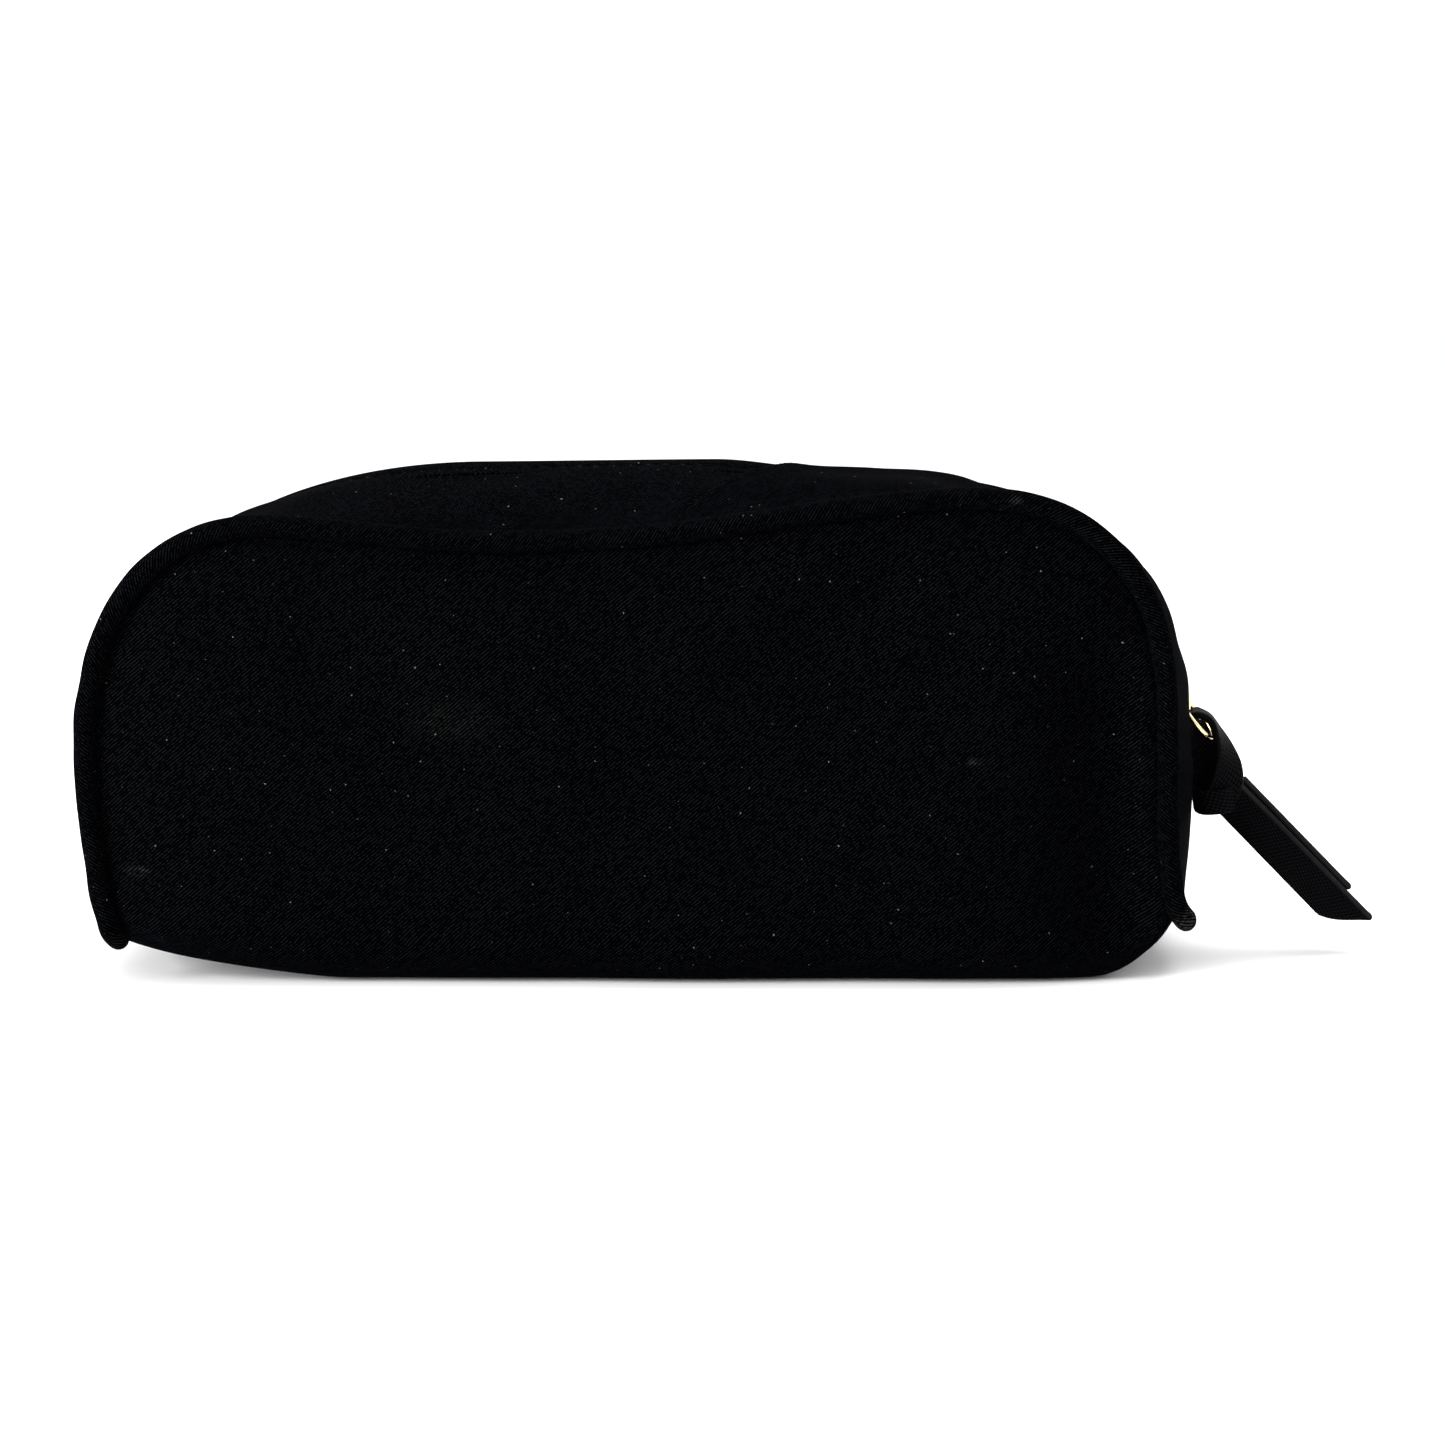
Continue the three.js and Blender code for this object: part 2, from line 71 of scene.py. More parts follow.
RING_HINGE = (103.25, 0.0, 48.3)
RING_RADIUS = 4.5
RING_WIRE = 0.45
RING_DROP = math.radians(49)
RING_TURN = math.radians(8)
STRAP_WIDTH = 7.6
STRAP_THICK = 2.0
STRAP_GAP = 0.6  # between the two tails
LOOP_WIDTH = 6.7
LOOP_THICK = 1.4
WRAP_WIDTH = 4.8
WRAP_THICK = 1.2
FRONT_TAIL = 35.6  # lengths of the two tails
BACK_TAIL = 28.8
STRAP_SAG = 0.0012  # how fast a tail curves away, as mm for each square mm of its length
STRAP_DROP = math.radians(47)
STRAP_ROLL = math.radians(30)
STRAP_ROOT = np.array((113.3, 0.0, 29.9))

CAMERA_AT = (0.0449, -0.6421, 0.1365)
CAMERA_LOOKS_AT = (0.0165, -0.031, 0.04885)
CAMERA_ROLL = math.radians(0.5)
CAMERA_LENS = 83.8

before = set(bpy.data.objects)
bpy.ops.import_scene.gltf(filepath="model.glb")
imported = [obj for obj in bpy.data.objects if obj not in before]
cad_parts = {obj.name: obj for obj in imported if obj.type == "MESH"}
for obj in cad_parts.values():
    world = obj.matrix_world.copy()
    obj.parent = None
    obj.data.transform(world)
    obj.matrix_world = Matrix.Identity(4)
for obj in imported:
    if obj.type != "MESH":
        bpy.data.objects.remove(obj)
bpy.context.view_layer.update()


# ---------------------------------------------------------------- lines
def smooth(low, high, x):
    """0 below low, 1 above high, and a smooth rise between."""
    t = np.clip((x - low) / (high - low), 0, 1)
    return t * t * (3 - 2 * t)


def blend_of(a, b, t):
    return a + (b - a) * t


def pairings(a, b):
    """Two grids that hold every pairing of a value in a with one in b."""
    return np.meshgrid(a, b, indexing="ij")


def spline(points, count=24):
    """A smooth line through the points, with count places on each stretch."""
    p = np.array(points, float)
    gaps = np.linalg.norm(np.diff(p, axis=0), axis=1)
    at = np.concatenate(([0], np.cumsum(gaps)))
    slope = np.gradient(p, at, axis=0)
    line = []
    for i, gap in enumerate(gaps):
        t = np.linspace(0, 1, count, endpoint=i == len(gaps) - 1)[:, None]
        line.append(
            (2 * t**3 - 3 * t**2 + 1) * p[i]
            + (t**3 - 2 * t**2 + t) * gap * slope[i]
            + (3 * t**2 - 2 * t**3) * p[i + 1]
            + (t**3 - t**2) * gap * slope[i + 1]
        )
    return np.concatenate(line)


def arc(centre, radii, start, end, count=90):
    a = np.radians(np.linspace(start, end, count))
    return np.stack((centre[0] + radii[0] * np.cos(a), centre[1] + radii[1] * np.sin(a)), 1)


def through(knots, x):
    """Smooth curve through (place, value) knots, read at x."""
    at, value = np.array(knots, float).T
    steep = np.diff(value) / np.diff(at)
    same_way = steep[:-1] * steep[1:] > 0
    both = np.where(same_way, steep[:-1] + steep[1:], 1)
    inner = np.where(same_way, 2 * steep[:-1] * steep[1:] / both, 0)
    slope = np.concatenate(([0], inner, [0]))
    i = np.clip(np.searchsorted(at, x) - 1, 0, len(at) - 2)
    gap = at[i + 1] - at[i]
    t = np.clip((x - at[i]) / gap, 0, 1)
    start = value[i] * (1 + 2 * t) * (1 - t) ** 2 + slope[i] * gap * t * (1 - t) ** 2
    return start + value[i + 1] * t**2 * (3 - 2 * t) - slope[i + 1] * gap * t**2 * (1 - t)


class Outline:
    """A line in the XZ plane, walked by the share of its length from 0 to 1."""

    def __init__(self, line):
        keep = np.concatenate(([True], np.linalg.norm(np.diff(line, axis=0), axis=1) > 1e-6))
        self.line = line[keep]
        steps = np.linalg.norm(np.diff(self.line, axis=0), axis=1)
        self.length = steps.sum()
        self.share = np.concatenate(([0], np.cumsum(steps))) / self.length

    def at(self, s):
        return np.stack([np.interp(s, self.share, self.line[:, k]) for k in (0, 1)], -1)

    def outward(self, s):
        """Unit normal, pointing away from the bag on a line that runs clockwise."""
        d = self.at(np.clip(s + 0.004, 0, 1)) - self.at(np.clip(s - 0.004, 0, 1))
        n = np.stack((-d[..., 1], d[..., 0]), -1)
        return n / np.linalg.norm(n, axis=-1, keepdims=True)


PIPING = Outline(
    spline(
        [
            (-97.8, 9.0), (-99.4, 14.0), (-101.1, 26.0), (-102.1, 42.0),
            (-101.0, 54.5), (-96.8, 67.6), (-89.6, 77.4), (-80.2, 83.3),
            (-70.0, 85.4), (-52.0, 84.3), (-32.0, 82.6), (-14.0, 82.4),
            (6.0, 83.6), (30.5, 86.9), (48.5, 89.0), (60.0, 89.8),
            (71.5, 88.9), (81.0, 85.4), (88.8, 79.2), (94.3, 70.5),
            (97.2, 59.5), (98.1, 46.0), (98.2, 31.0), (98.8, 21.5),
            (100.2, 13.0),
        ]
    )
)
ZIP_ARC = ((54.0, 44.0), 48.0)
ZIP = Outline(
    np.concatenate(
        (
            spline([(-99.0, 7.0), (-102.4, 20.0), (-104.0, 33.0), (-104.0, 44.0)]),
            arc((-30.0, 44.0), (74.0, 48.0), 180, 90),
            np.array([(54.0, 92.0)]),
            arc(ZIP_ARC[0], (ZIP_ARC[1], ZIP_ARC[1]), 90, 0),
            spline([(102.0, 44.0), (101.9, 34.0), (101.4, 20.0), (99.9, 7.0)])[1:],
        )
    )
)
STITCH_START = ZIP_SPAN[0] * ZIP.length + 3.0  # middle of the first stitch


def ripple(points, wavelength, seed):
    """A smooth random field of about -1 to 1 over points, in waves of about that length."""
    random = np.random.default_rng(seed)
    total = np.zeros(points.shape[:-1])
    for _ in range(14):
        way = random.normal(size=3)
        way /= np.linalg.norm(way)
        stretch = random.uniform(0.65, 1.5)
        phase = random.uniform(0, 2 * math.pi)
        total += np.sin(points @ way * 2 * math.pi * stretch / wavelength + phase)
    return total / math.sqrt(14)


# ---------------------------------------------------------------- meshes
def settle(points):
    """The back half slumps a little at its top, most of all at its two shoulders."""
    p = np.array(points, float)
    top = smooth(58, 80, p[:, 2])
    shoulders = 3.8 * np.exp(-(((p[:, 0] + 74) / 26) ** 2))
    shoulders = shoulders + 3.0 * np.exp(-(((p[:, 0] - 76) / 16) ** 2))
    p[:, 2] -= top * smooth(3.4, 5.5, p[:, 1]) * 1.5
    p[:, 2] -= top * smooth(4, 30, p[:, 1]) * shoulders
    return p


def new_mesh(name, verts, faces, uvs, looks, face_look=None):
    """A smooth mesh from millimetre points. uvs holds a place in millimetres for every corner."""
    mesh = bpy.data.meshes.new(name)
    mesh.from_pydata((settle(verts) * MM).tolist(), [], faces)
    layer = mesh.uv_layers.new(name="cloth")
    layer.data.foreach_set("uv", (np.asarray(uvs, np.float32) * 0.01).ravel())
    for material in looks:
        mesh.materials.append(material)
    if face_look is not None:
        mesh.polygons.foreach_set("material_index", face_look)
    mesh.shade_smooth()
    mesh.update()
    obj = bpy.data.objects.new(name, mesh)
    bpy.context.scene.collection.objects.link(obj)
    return obj


def grid(name, points, uv, look, closed_across=False, flip=False):
    """A sheet from points[n, m, 3] with its cloth places uv[n, m, 2]."""
    n, m = points.shape[:2]
    index = np.arange(n * m).reshape(n, m)
    if closed_across:
        index = np.concatenate((index, index[:, :1]), 1)
        seam = uv[:, :1] + (uv[:, -1:] - uv[:, :1]) * m / (m - 1)
        uv = np.concatenate((uv, seam), 1)
    corners = [(0, 0), (1, 0), (1, 1), (0, 1)]
    if flip:
        corners.reverse()
    rows, columns = index.shape[0] - 1, index.shape[1] - 1
    faces = np.stack([index[a : a + rows, b : b + columns] for a, b in corners], -1)
    places = np.stack([uv[a : a + rows, b : b + columns] for a, b in corners], -2)
    quads = faces.reshape(-1, 4).tolist()
    return new_mesh(name, points.reshape(-1, 3), quads, places.reshape(-1, 2), [look])


def thicken(obj, thickness):
    """Gives a sheet its thickness, on the side that its normals point away from."""
    solid = obj.modifiers.new("thickness", "SOLIDIFY")
    solid.thickness = thickness * MM
    solid.offset = -1
    return obj


def directions_along(path, side_hint):
    """Two directions square to a path, the first of them nearest to side_hint."""
    tangent = np.gradient(path, axis=0)
    tangent /= np.linalg.norm(tangent, axis=1, keepdims=True)
    side = side_hint - tangent * np.sum(side_hint * tangent, 1, keepdims=True)
    side /= np.linalg.norm(side, axis=1, keepdims=True)
    return side, np.cross(tangent, side)


def lengths_along(path):
    return np.concatenate(([0], np.cumsum(np.linalg.norm(np.diff(path, axis=0), axis=1))))


def tube(name, path, radius, look, around=20):
    """A round tube along a path, with rounded ends. radius holds a number for each place."""
    radius = radius.copy()
    side, other = directions_along(path, np.broadcast_to((0.0, 1.0, 0.0), path.shape))
    run = lengths_along(path)
    for end in (run, run[-1] - run):
        radius *= np.sqrt(1 - (1 - np.clip(end / radius, 0, 1)) ** 2) * 0.985 + 0.015
    angle = np.linspace(0, 2 * math.pi, around, endpoint=False)
    circle = (
        side[:, None] * np.cos(angle)[None, :, None]
        + other[:, None] * np.sin(angle)[None, :, None]
    )
    points = path[:, None] + circle * radius[:, None, None]
    turn = np.broadcast_to(angle * np.median(radius), (len(path), around))
    uv = np.stack((np.broadcast_to(run[:, None], turn.shape), turn), -1)
    return grid(name, points, uv, look, closed_across=True)


# ---------------------------------------------------------------- materials
class Shader:
    """Short ways to wire a material's nodes."""

    def __init__(self, name, colour, roughness, metallic=0.0, **settings):
        self.material = bpy.data.materials.new(name)
        self.material.use_nodes = True
        self.nodes = self.material.node_tree.nodes
        self.links = self.material.node_tree.links
        self.surface = self.nodes["Principled BSDF"]
        self.set(self.surface, "Base Color", (*colour, 1))
        self.set(self.surface, "Roughness", roughness)
        self.set(self.surface, "Metallic", metallic)
        for socket, value in settings.items():
            self.set(self.surface, socket.replace("_", " "), value)

    def set(self, node, socket, value):
        if isinstance(value, bpy.types.NodeSocket):
            self.links.new(value, node.inputs[socket])
        else:
            node.inputs[socket].default_value = value

    def add(self, kind, out, attributes=None, **inputs):
        node = self.nodes.new(kind)
        for key, value in (attributes or {}).items():
            setattr(node, key, value)
        for socket, value in inputs.items():
            self.set(node, socket.replace("_", " "), value)
        return node.outputs[out]

    def math(self, operation, *values):
        node = self.nodes.new("ShaderNodeMath")
        node.operation = operation
        for i, value in enumerate(values):
            self.set(node, i, value)
        return node.outputs[0]

    def times(self, a, b):
        return self.math("MULTIPLY", a, b)

    def plus(self, a, b):
        return self.math("ADD", a, b)

    def vector(self, operation, *values, out=0):
        node = self.nodes.new("ShaderNodeVectorMath")
        node.operation = operation
        for i, value in enumerate(values):
            self.set(node, i, value)
        return node.outputs[out]

    def slanted(self, along, across, degrees, pitch=1.0):
        """Distance over the cloth in the direction given, in pitches."""
        turn = math.radians(degrees)
        return self.plus(
            self.times(along, math.cos(turn) / pitch),
            self.times(across, math.sin(turn) / pitch),
        )

    def pair(self, x, y):
        """A vector from two values."""
        node = self.nodes.new("ShaderNodeCombineXYZ")
        self.set(node, 0, x)
        self.set(node, 1, y)
        return node.outputs[0]

    def ramp(self, value, low, high, to_low=0.0, to_high=1.0):
        """value from low..high to to_low..to_high, with smooth ends."""
        node = self.nodes.new("ShaderNodeMapRange")
        node.interpolation_type = "SMOOTHSTEP"
        for i, setting in enumerate((value, low, high, to_low, to_high)):
            self.set(node, i, setting)
        return node.outputs[0]

    def mix(self, share, a, b):
        """One colour or another by share. Colours are sockets or (r, g, b)."""
        node = self.nodes.new("ShaderNodeMix")
        node.data_type = "RGBA"
        self.set(node, 0, share)
        for socket, value in ((6, a), (7, b)):
            self.set(node, socket, value if hasattr(value, "links") else (*value, 1))
        return node.outputs[2]

    def paint(self, share, dark, light):
        """Colours the surface from dark to light by share."""
        self.set(self.surface, "Base Color", self.mix(share, dark, light))

    def polish(self, value, low, high, to_low, to_high):
        """Sets the surface's roughness from value, as ramp does."""
        self.set(self.surface, "Roughness", self.ramp(value, low, high, to_low, to_high))

    def cloth_place(self):
        """Place on the cloth along and across, in millimetres."""
        uv = self.add("ShaderNodeUVMap", 0, {"uv_map": "cloth"})
        split = self.nodes.new("ShaderNodeSeparateXYZ")
        self.links.new(uv, split.inputs[0])
        return [self.times(split.outputs[i], 100.0) for i in (0, 1)]

    def point(self):
        """Place on the object, in metres."""
        return self.nodes.new("ShaderNodeTexCoord").outputs["Object"]

    def noise(self, scale, detail=2.0, roughness=0.5):
        return self.add(
            "ShaderNodeTexNoise",
            "Fac",
            Vector=self.point(),
            Scale=scale,
            Detail=detail,
            Roughness=roughness,
        )

    def bump(self, height, distance, strength):
        """Raises the surface by height (0 to 1) times distance millimetres."""
        node = self.nodes.new("ShaderNodeBump")
        self.set(node, "Height", height)
        node.inputs["Distance"].default_value = distance * MM
        node.inputs["Strength"].default_value = strength
        self.links.new(node.outputs[0], self.surface.inputs["Normal"])


def twill(name, slant=50.0, pitch=0.54, marks=()):
    """Black nylon twill: slanting ribs of small floats, lint, and pale marks at the places given.

    slant is the angle in degrees between the first cloth direction and the way across the ribs.
    Each mark is (centre in metres, half sizes in metres, strength)."""
    sheen = {"Sheen_Weight": 0.001, "Sheen_Roughness": 0.4, "Sheen_Tint": (0.62, 0.68, 0.9, 1)}
    s = Shader(name, (0.01, 0.01, 0.012), 0.78, Specular_IOR_Level=0.002, **sheen)
    along, across = s.cloth_place()
    wobble = s.times(s.math("SUBTRACT", s.noise(120.0), 0.5), 0.7)
    rib = s.plus(s.slanted(along, across, -slant, pitch), wobble)
    number = s.math("FLOOR", rib)
    inside = s.math("FRACT", rib)
    arch = s.math("SINE", s.times(inside, math.pi))
    float_at = s.slanted(along, across, 90.0 - slant, pitch * 0.93)
    float_at = s.plus(float_at, s.times(number, 0.37))
    yarn = s.math("ABSOLUTE", s.math("SINE", s.times(float_at, math.pi)))
    yarn = s.math("POWER", yarn, 0.6)
    weave = s.times(arch, s.plus(s.times(yarn, 0.45), 0.55))
    cell = s.pair(number, s.math("FLOOR", float_at))
    glint = s.add("ShaderNodeTexWhiteNoise", "Value", Vector=cell)
    worn = s.ramp(s.noise(55.0, 3.0), 0.3, 0.7, 0.9, 1.1)
    tone = s.times(s.ramp(weave, 0.55, 1.0), worn)
    tone = s.times(tone, s.ramp(glint, 0.0, 1.0, 0.25, 1.2))
    colour = s.mix(tone, (0.00002, 0.00002, 0.00004), (0.0046, 0.0052, 0.0067))
    for centre, half, strength in marks:
        away = s.vector("DIVIDE", s.vector("SUBTRACT", s.point(), centre), half)
        near = s.ramp(s.vector("LENGTH", away, out="Value"), 0.2, 1.0, 1.0, 0.0)
        broken = s.ramp(s.noise(1300.0, 4.0, 0.75), 0.4, 0.62)
        chalk = s.times(s.times(near, broken), strength)
        chalk = s.times(chalk, s.ramp(weave, 0.35, 0.8))
        colour = s.mix(chalk, colour, (0.02, 0.02, 0.0185))
    s.set(s.surface, "Base Color", add_lint(s, colour, along, across))
    s.polish(weave, 0.0, 1.0, 0.9, 0.68)
    s.bump(weave, 0.09, 1.0)
    return s.material


def add_lint(s, colour, along, across):
    """Pale specks of dust and short fibres scattered over a cloth."""
    spot = s.pair(along, across)
    warp = s.add("ShaderNodeTexNoise", "Color", Vector=spot, Scale=3.0, Detail=1.0)
    place = s.vector("MULTIPLY_ADD", warp, (0.35, 0.35, 0.0), spot)
    for cell, speck, rare in ((13.0, 0.12, 0.45), (5.5, 0.085, 0.4)):
        node = s.nodes.new("ShaderNodeTexVoronoi")
        node.voronoi_dimensions = "2D"
        s.set(node, "Vector", place)
        s.set(node, "Scale", 1.0 / cell)
        pick = s.nodes.new("ShaderNodeSeparateColor")
        s.links.new(node.outputs["Color"], pick.inputs[0])
        chosen = s.math("GREATER_THAN", pick.outputs[0], rare)
        size = s.ramp(pick.outputs[1], 0.0, 1.0, speck * 0.6 / cell, speck * 1.6 / cell)
        close = s.math("LESS_THAN", node.outputs["Distance"], size)
        bright = s.ramp(pick.outputs[2], 0.2, 1.0, 0.1, 0.9)
        share = s.times(s.times(chosen, close), bright)
        colour = s.mix(share, colour, (0.1, 0.097, 0.09))
    return colour


def lining_cloth():
    s = Shader("lining_cloth", (0.016, 0.016, 0.02), 0.6, Sheen_Weight=0.004, Specular_IOR_Level=0.03)
    wave = 2 * math.pi / 0.5
    yarns = [s.math("SINE", s.times(way, wave)) for way in s.cloth_place()]
    weave = s.ramp(s.times(*yarns), -1.0, 1.0)
    s.paint(weave, (0.003, 0.003, 0.0039), (0.0095, 0.0095, 0.012))
    s.polish(s.noise(90.0, 3.0), 0.3, 0.7, 0.5, 0.7)
    s.bump(weave, 0.04, 0.6)
    return s.material


def zip_tape():
    """Woven tape with ribs across it, as the herringbone of a zip's edge shows."""
    s = Shader("zip_tape", (0.01, 0.01, 0.012), 0.75, Sheen_Weight=0.003, Specular_IOR_Level=0.01)
    along, across = s.cloth_place()
    band = s.math("FRACT", s.math("DIVIDE", across, 2.4))
    zigzag = s.math("ABSOLUTE", s.math("SUBTRACT", band, 0.5))
    place = s.plus(along, s.times(zigzag, 2.4))
    weave = s.ramp(s.math("SINE", s.times(place, 2 * math.pi / 0.6)), -1.0, 1.0)
    s.paint(weave, (0.0008, 0.0008, 0.001), (0.0056, 0.0058, 0.007))
    s.bump(weave, 0.08, 0.8)
    return s.material


def nylon():
    s = Shader("zip_nylon", (0.007, 0.007, 0.009), 0.32, Specular_IOR_Level=0.07)
    s.paint(s.noise(300.0), (0.0014, 0.0014, 0.0018), (0.005, 0.005, 0.0062))
    s.polish(s.noise(900.0), 0.3, 0.7, 0.26, 0.44)
    s.bump(s.noise(3000.0), 0.02, 0.5)
    return s.material


def gold():
    s = Shader("pale_gold", (0.9, 0.73, 0.42), 0.16, metallic=1.0)
    s.paint(s.noise(260.0, 3.0), (0.93, 0.78, 0.48), (0.83, 0.65, 0.34))
    s.polish(s.noise(900.0, 4.0), 0.35, 0.75, 0.12, 0.3)
    s.bump(s.noise(1500.0, 3.0), 0.012, 0.4)
    return s.material


def leather():
    """Cross-grain leather: fine slanting lines crossed by shallower ones, pressed in."""
    s = Shader("cross_grain_leather", (0.01, 0.01, 0.012), 0.42, Specular_IOR_Level=0.012)
    along, across = s.cloth_place()
    bend = s.times(s.math("SUBTRACT", s.noise(260.0, 2.0), 0.5), 0.6)
    lines = []
    for lean, pitch, share in ((70.0, 0.62, 1.0), (-22.0, 0.8, 0.7)):
        place = s.plus(s.slanted(along, across, lean), bend)
        wave = s.math("SINE", s.times(place, 2 * math.pi / pitch))
        lines.append(s.times(s.ramp(wave, -0.7, 0.8), share))
    grain = s.math("DIVIDE", s.plus(*lines), 1.7)
    s.paint(grain, (0.0001, 0.0001, 0.0002), (0.0043, 0.0045, 0.0053))
    s.polish(grain, 0.0, 1.0, 0.6, 0.34)
    s.bump(grain, 0.2, 1.0)
    return s.material


def edge_paint():
    s = Shader("leather_edge_paint", (0.03, 0.03, 0.034), 0.34, Specular_IOR_Level=0.02)
    s.paint(s.noise(500.0, 3.0), (0.0010, 0.0010, 0.0013), (0.0028, 0.0028, 0.0034))
    s.polish(s.noise(800.0, 3.0), 0.3, 0.7, 0.26, 0.46)
    s.bump(s.noise(1100.0, 3.0), 0.05, 0.5)
    return s.material


def thread():
    """Polyester sewing thread with its twist, its colour set lighter than the cloth's as a painted
    sheen.
    """
    s = Shader("black_thread", (0.012, 0.012, 0.014), 0.5, Sheen_Weight=0.002, Specular_IOR_Level=0.01)
    along, across = s.cloth_place()
    turn = s.times(along, 2 * math.pi / 0.55)
    turn = s.plus(turn, s.times(across, 6.0))
    twist = s.ramp(s.math("SINE", turn), -1.0, 1.0)
    # The thread's colour is a painted sheen, well lighter than the cloth's black; the light and dark
    # stripes along the twist are the thread's own pattern.
    s.paint(twist, (0.003, 0.003, 0.0037), (0.0155, 0.016, 0.019))
    s.bump(twist, 0.06, 0.8)
    return s.material


SCUFFS = (
    ((-0.033, -0.034, 0.050), (0.011, 0.02, 0.0055), 0.26),
    ((-0.0925, -0.033, 0.0215), (0.0035, 0.02, 0.0015), 0.8),
    ((0.0625, -0.034, 0.042), (0.0022, 0.02, 0.0012), 0.7),
)
WORN_TIPS = (
    ((0.1025, -0.0308, 0.0115), (0.004, 0.005, 0.004), 2.5),
    ((-0.0975, -0.029, 0.0078), (0.004, 0.005, 0.003), 0.4),
    ((0.070, -0.032, 0.0895), (0.0018, 0.004, 0.0012), 0.9),
)
CLOTH = twill("nylon_twill")
WALL_CLOTH = twill("nylon_twill_wall", marks=SCUFFS)
PIPING_CLOTH = twill("nylon_twill_bias", slant=-38.0, marks=WORN_TIPS)
LINING = lining_cloth()
TAPE = zip_tape()
NYLON = nylon()
GOLD = gold()
LEATHER = leather()
EDGE = edge_paint()
THREAD = thread()


# ---------------------------------------------------------------- walls and base
WALL_FOLDS = (  # height, start and end in X and Z, and width of each soft fold
    (-5.6, (89.0, 6), (86.5, 58), 9.5),
    (1.5, (8, 58), (38, 80), 6.0),
    (0.9, (51, 62), (58, 78), 4.5),
    (-1.2, (-70, 24), (-10, 13), 9.0),
    (0.7, (-88, 26), (-83, 66), 6.0),
    (0.9, (-40, 58), (-8, 36), 11.0),
    (0.8, (30, 20), (66, 34), 9.0),
)


def base_height(x):
    """Height of the base's underside: flat in the middle and lifting to either end."""
    left = np.clip((BASE_FLAT[0] - x) / (BASE_FLAT[0] + 98.0), 0, 1.1)
    right = np.clip((x - BASE_FLAT[1]) / (100.0 - BASE_FLAT[1]), 0, 1.1)
    return BASE_LIFT[0] * left**1.45 + BASE_LIFT[1] * right**2.15


def corner_radius(x):
    ends = smooth(0.62, 1.0, np.abs(x - 0.5) / 99.0)
    return blend_of(BASE_CORNER, 3.2, ends)


def foot_of_wall(x):
    return base_height(x) + corner_radius(x)


def foot_share(from_end):
    """Share of the piping where it meets a wall's foot, at its left or its right end."""
    height = foot_of_wall(99.0 if from_end else -99.0)
    s = np.linspace(0, 0.3, 2000)
    s = 1 - s if from_end else s
    return s[np.argmax(PIPING.at(s)[:, 1] >= height)]


def wall_shape(u, v):
    """Place in the XZ plane on a wall, u from left to right and v from the foot to the top."""
    corner = (0.26, 0.79)  # shares of the piping where a side becomes the top
    low = (foot_share(False), foot_share(True))
    left = PIPING.at(blend_of(low[0], corner[0], v))
    right = PIPING.at(blend_of(low[1], corner[1], v))
    top = PIPING.at(blend_of(corner[0], corner[1], u))
    foot_x = blend_of(PIPING.at(low[0])[0], PIPING.at(low[1])[0], u)
    foot = np.stack((foot_x, foot_of_wall(foot_x)), -1)
    ends = [PIPING.at(s) for s in (low[0], low[1], corner[0], corner[1])]
    u, v = u[..., None], v[..., None]
    sides = blend_of(left, right, u) + blend_of(foot, top, v)
    corners = blend_of(blend_of(ends[0], ends[1], u), blend_of(ends[2], ends[3], u), v)
    return sides - corners


def distance_to_piping(xz):
    line = PIPING.at(np.linspace(0, 1, 500))
    flat = xz.reshape(-1, 2)
    near = np.full(len(flat), 1e9)
    for start in range(0, len(line), 50):
        gap = np.linalg.norm(flat[:, None] - line[None, start : start + 50], axis=2)
        near = np.minimum(near, gap.min(1))
    return near.reshape(xz.shape[:-1])


def soft_fold(x, z, start, end, width):
    """1 along the line from start to end, falling off over width and past its ends."""
    a, b = np.array(start, float), np.array(end, float)
    run = b - a
    length = np.linalg.norm(run)
    way = run / length
    forward = (x - a[0]) * way[0] + (z - a[1]) * way[1]
    aside = (x - a[0]) * way[1] - (z - a[1]) * way[0]
    ends = smooth(-0.25 * length, 0.15 * length, forward)
    ends = ends * (1 - smooth(0.85 * length, 1.25 * length, forward))
    return np.exp(-((aside / width) ** 2)) * ends


def wall_bulge(x, z, edge):
    """How far the front wall stands out of its seam, with the folds of a part-filled bag."""
    rise = 4.4 * (1 - np.exp(-edge / 6.0)) + 1.8 * smooth(4, 45, edge)
    for height, start, end, width in WALL_FOLDS:
        rise = rise + height * soft_fold(x, z, start, end, width) * smooth(0, 9, edge)
    return rise


def wall_grid(across=230, up=150):
    """Points of a front wall down to its foot."""
    xz = wall_shape(*pairings(np.linspace(0, 1, across), np.linspace(0, 1, up)))
    edge = distance_to_piping(xz)
    x, z = xz[..., 0], xz[..., 1]
    y = -(SEAM_Y + wall_bulge(x, z, edge))
    points = np.stack((x, y, z), -1)
    pucker = np.exp(-edge / 4.0) * ripple(points * (1, 0, 1), 7.0, 3) * 0.16
    wave = ripple(points * (1, 0, 1), 48.0, 5) * 0.35 * smooth(0, 14, edge)
    points[..., 1] += pucker + wave
    return points


def fold_and_base(foot, stop):
    """Continues each column of a wall's foot round its fold and along the base to y = stop."""
    x = foot[:, 0]
    radius = corner_radius(x)
    angle = np.linspace(0, math.pi / 2, 15)[1:]
    y = foot[:, 1, None] + radius[:, None] * (1 - np.cos(angle))
    z = foot[:, 2, None] - radius[:, None] * np.sin(angle)
    bend = np.stack((np.broadcast_to(x[:, None], y.shape), y, z), -1)
    t = np.linspace(0, 1, 22)[1:]
    y = blend_of(bend[:, -1, 1, None], stop, t)
    flat_z = np.broadcast_to(bend[:, -1, 2, None], y.shape)
    base = np.stack((np.broadcast_to(x[:, None], y.shape), y, flat_z), -1)
    return bend, base


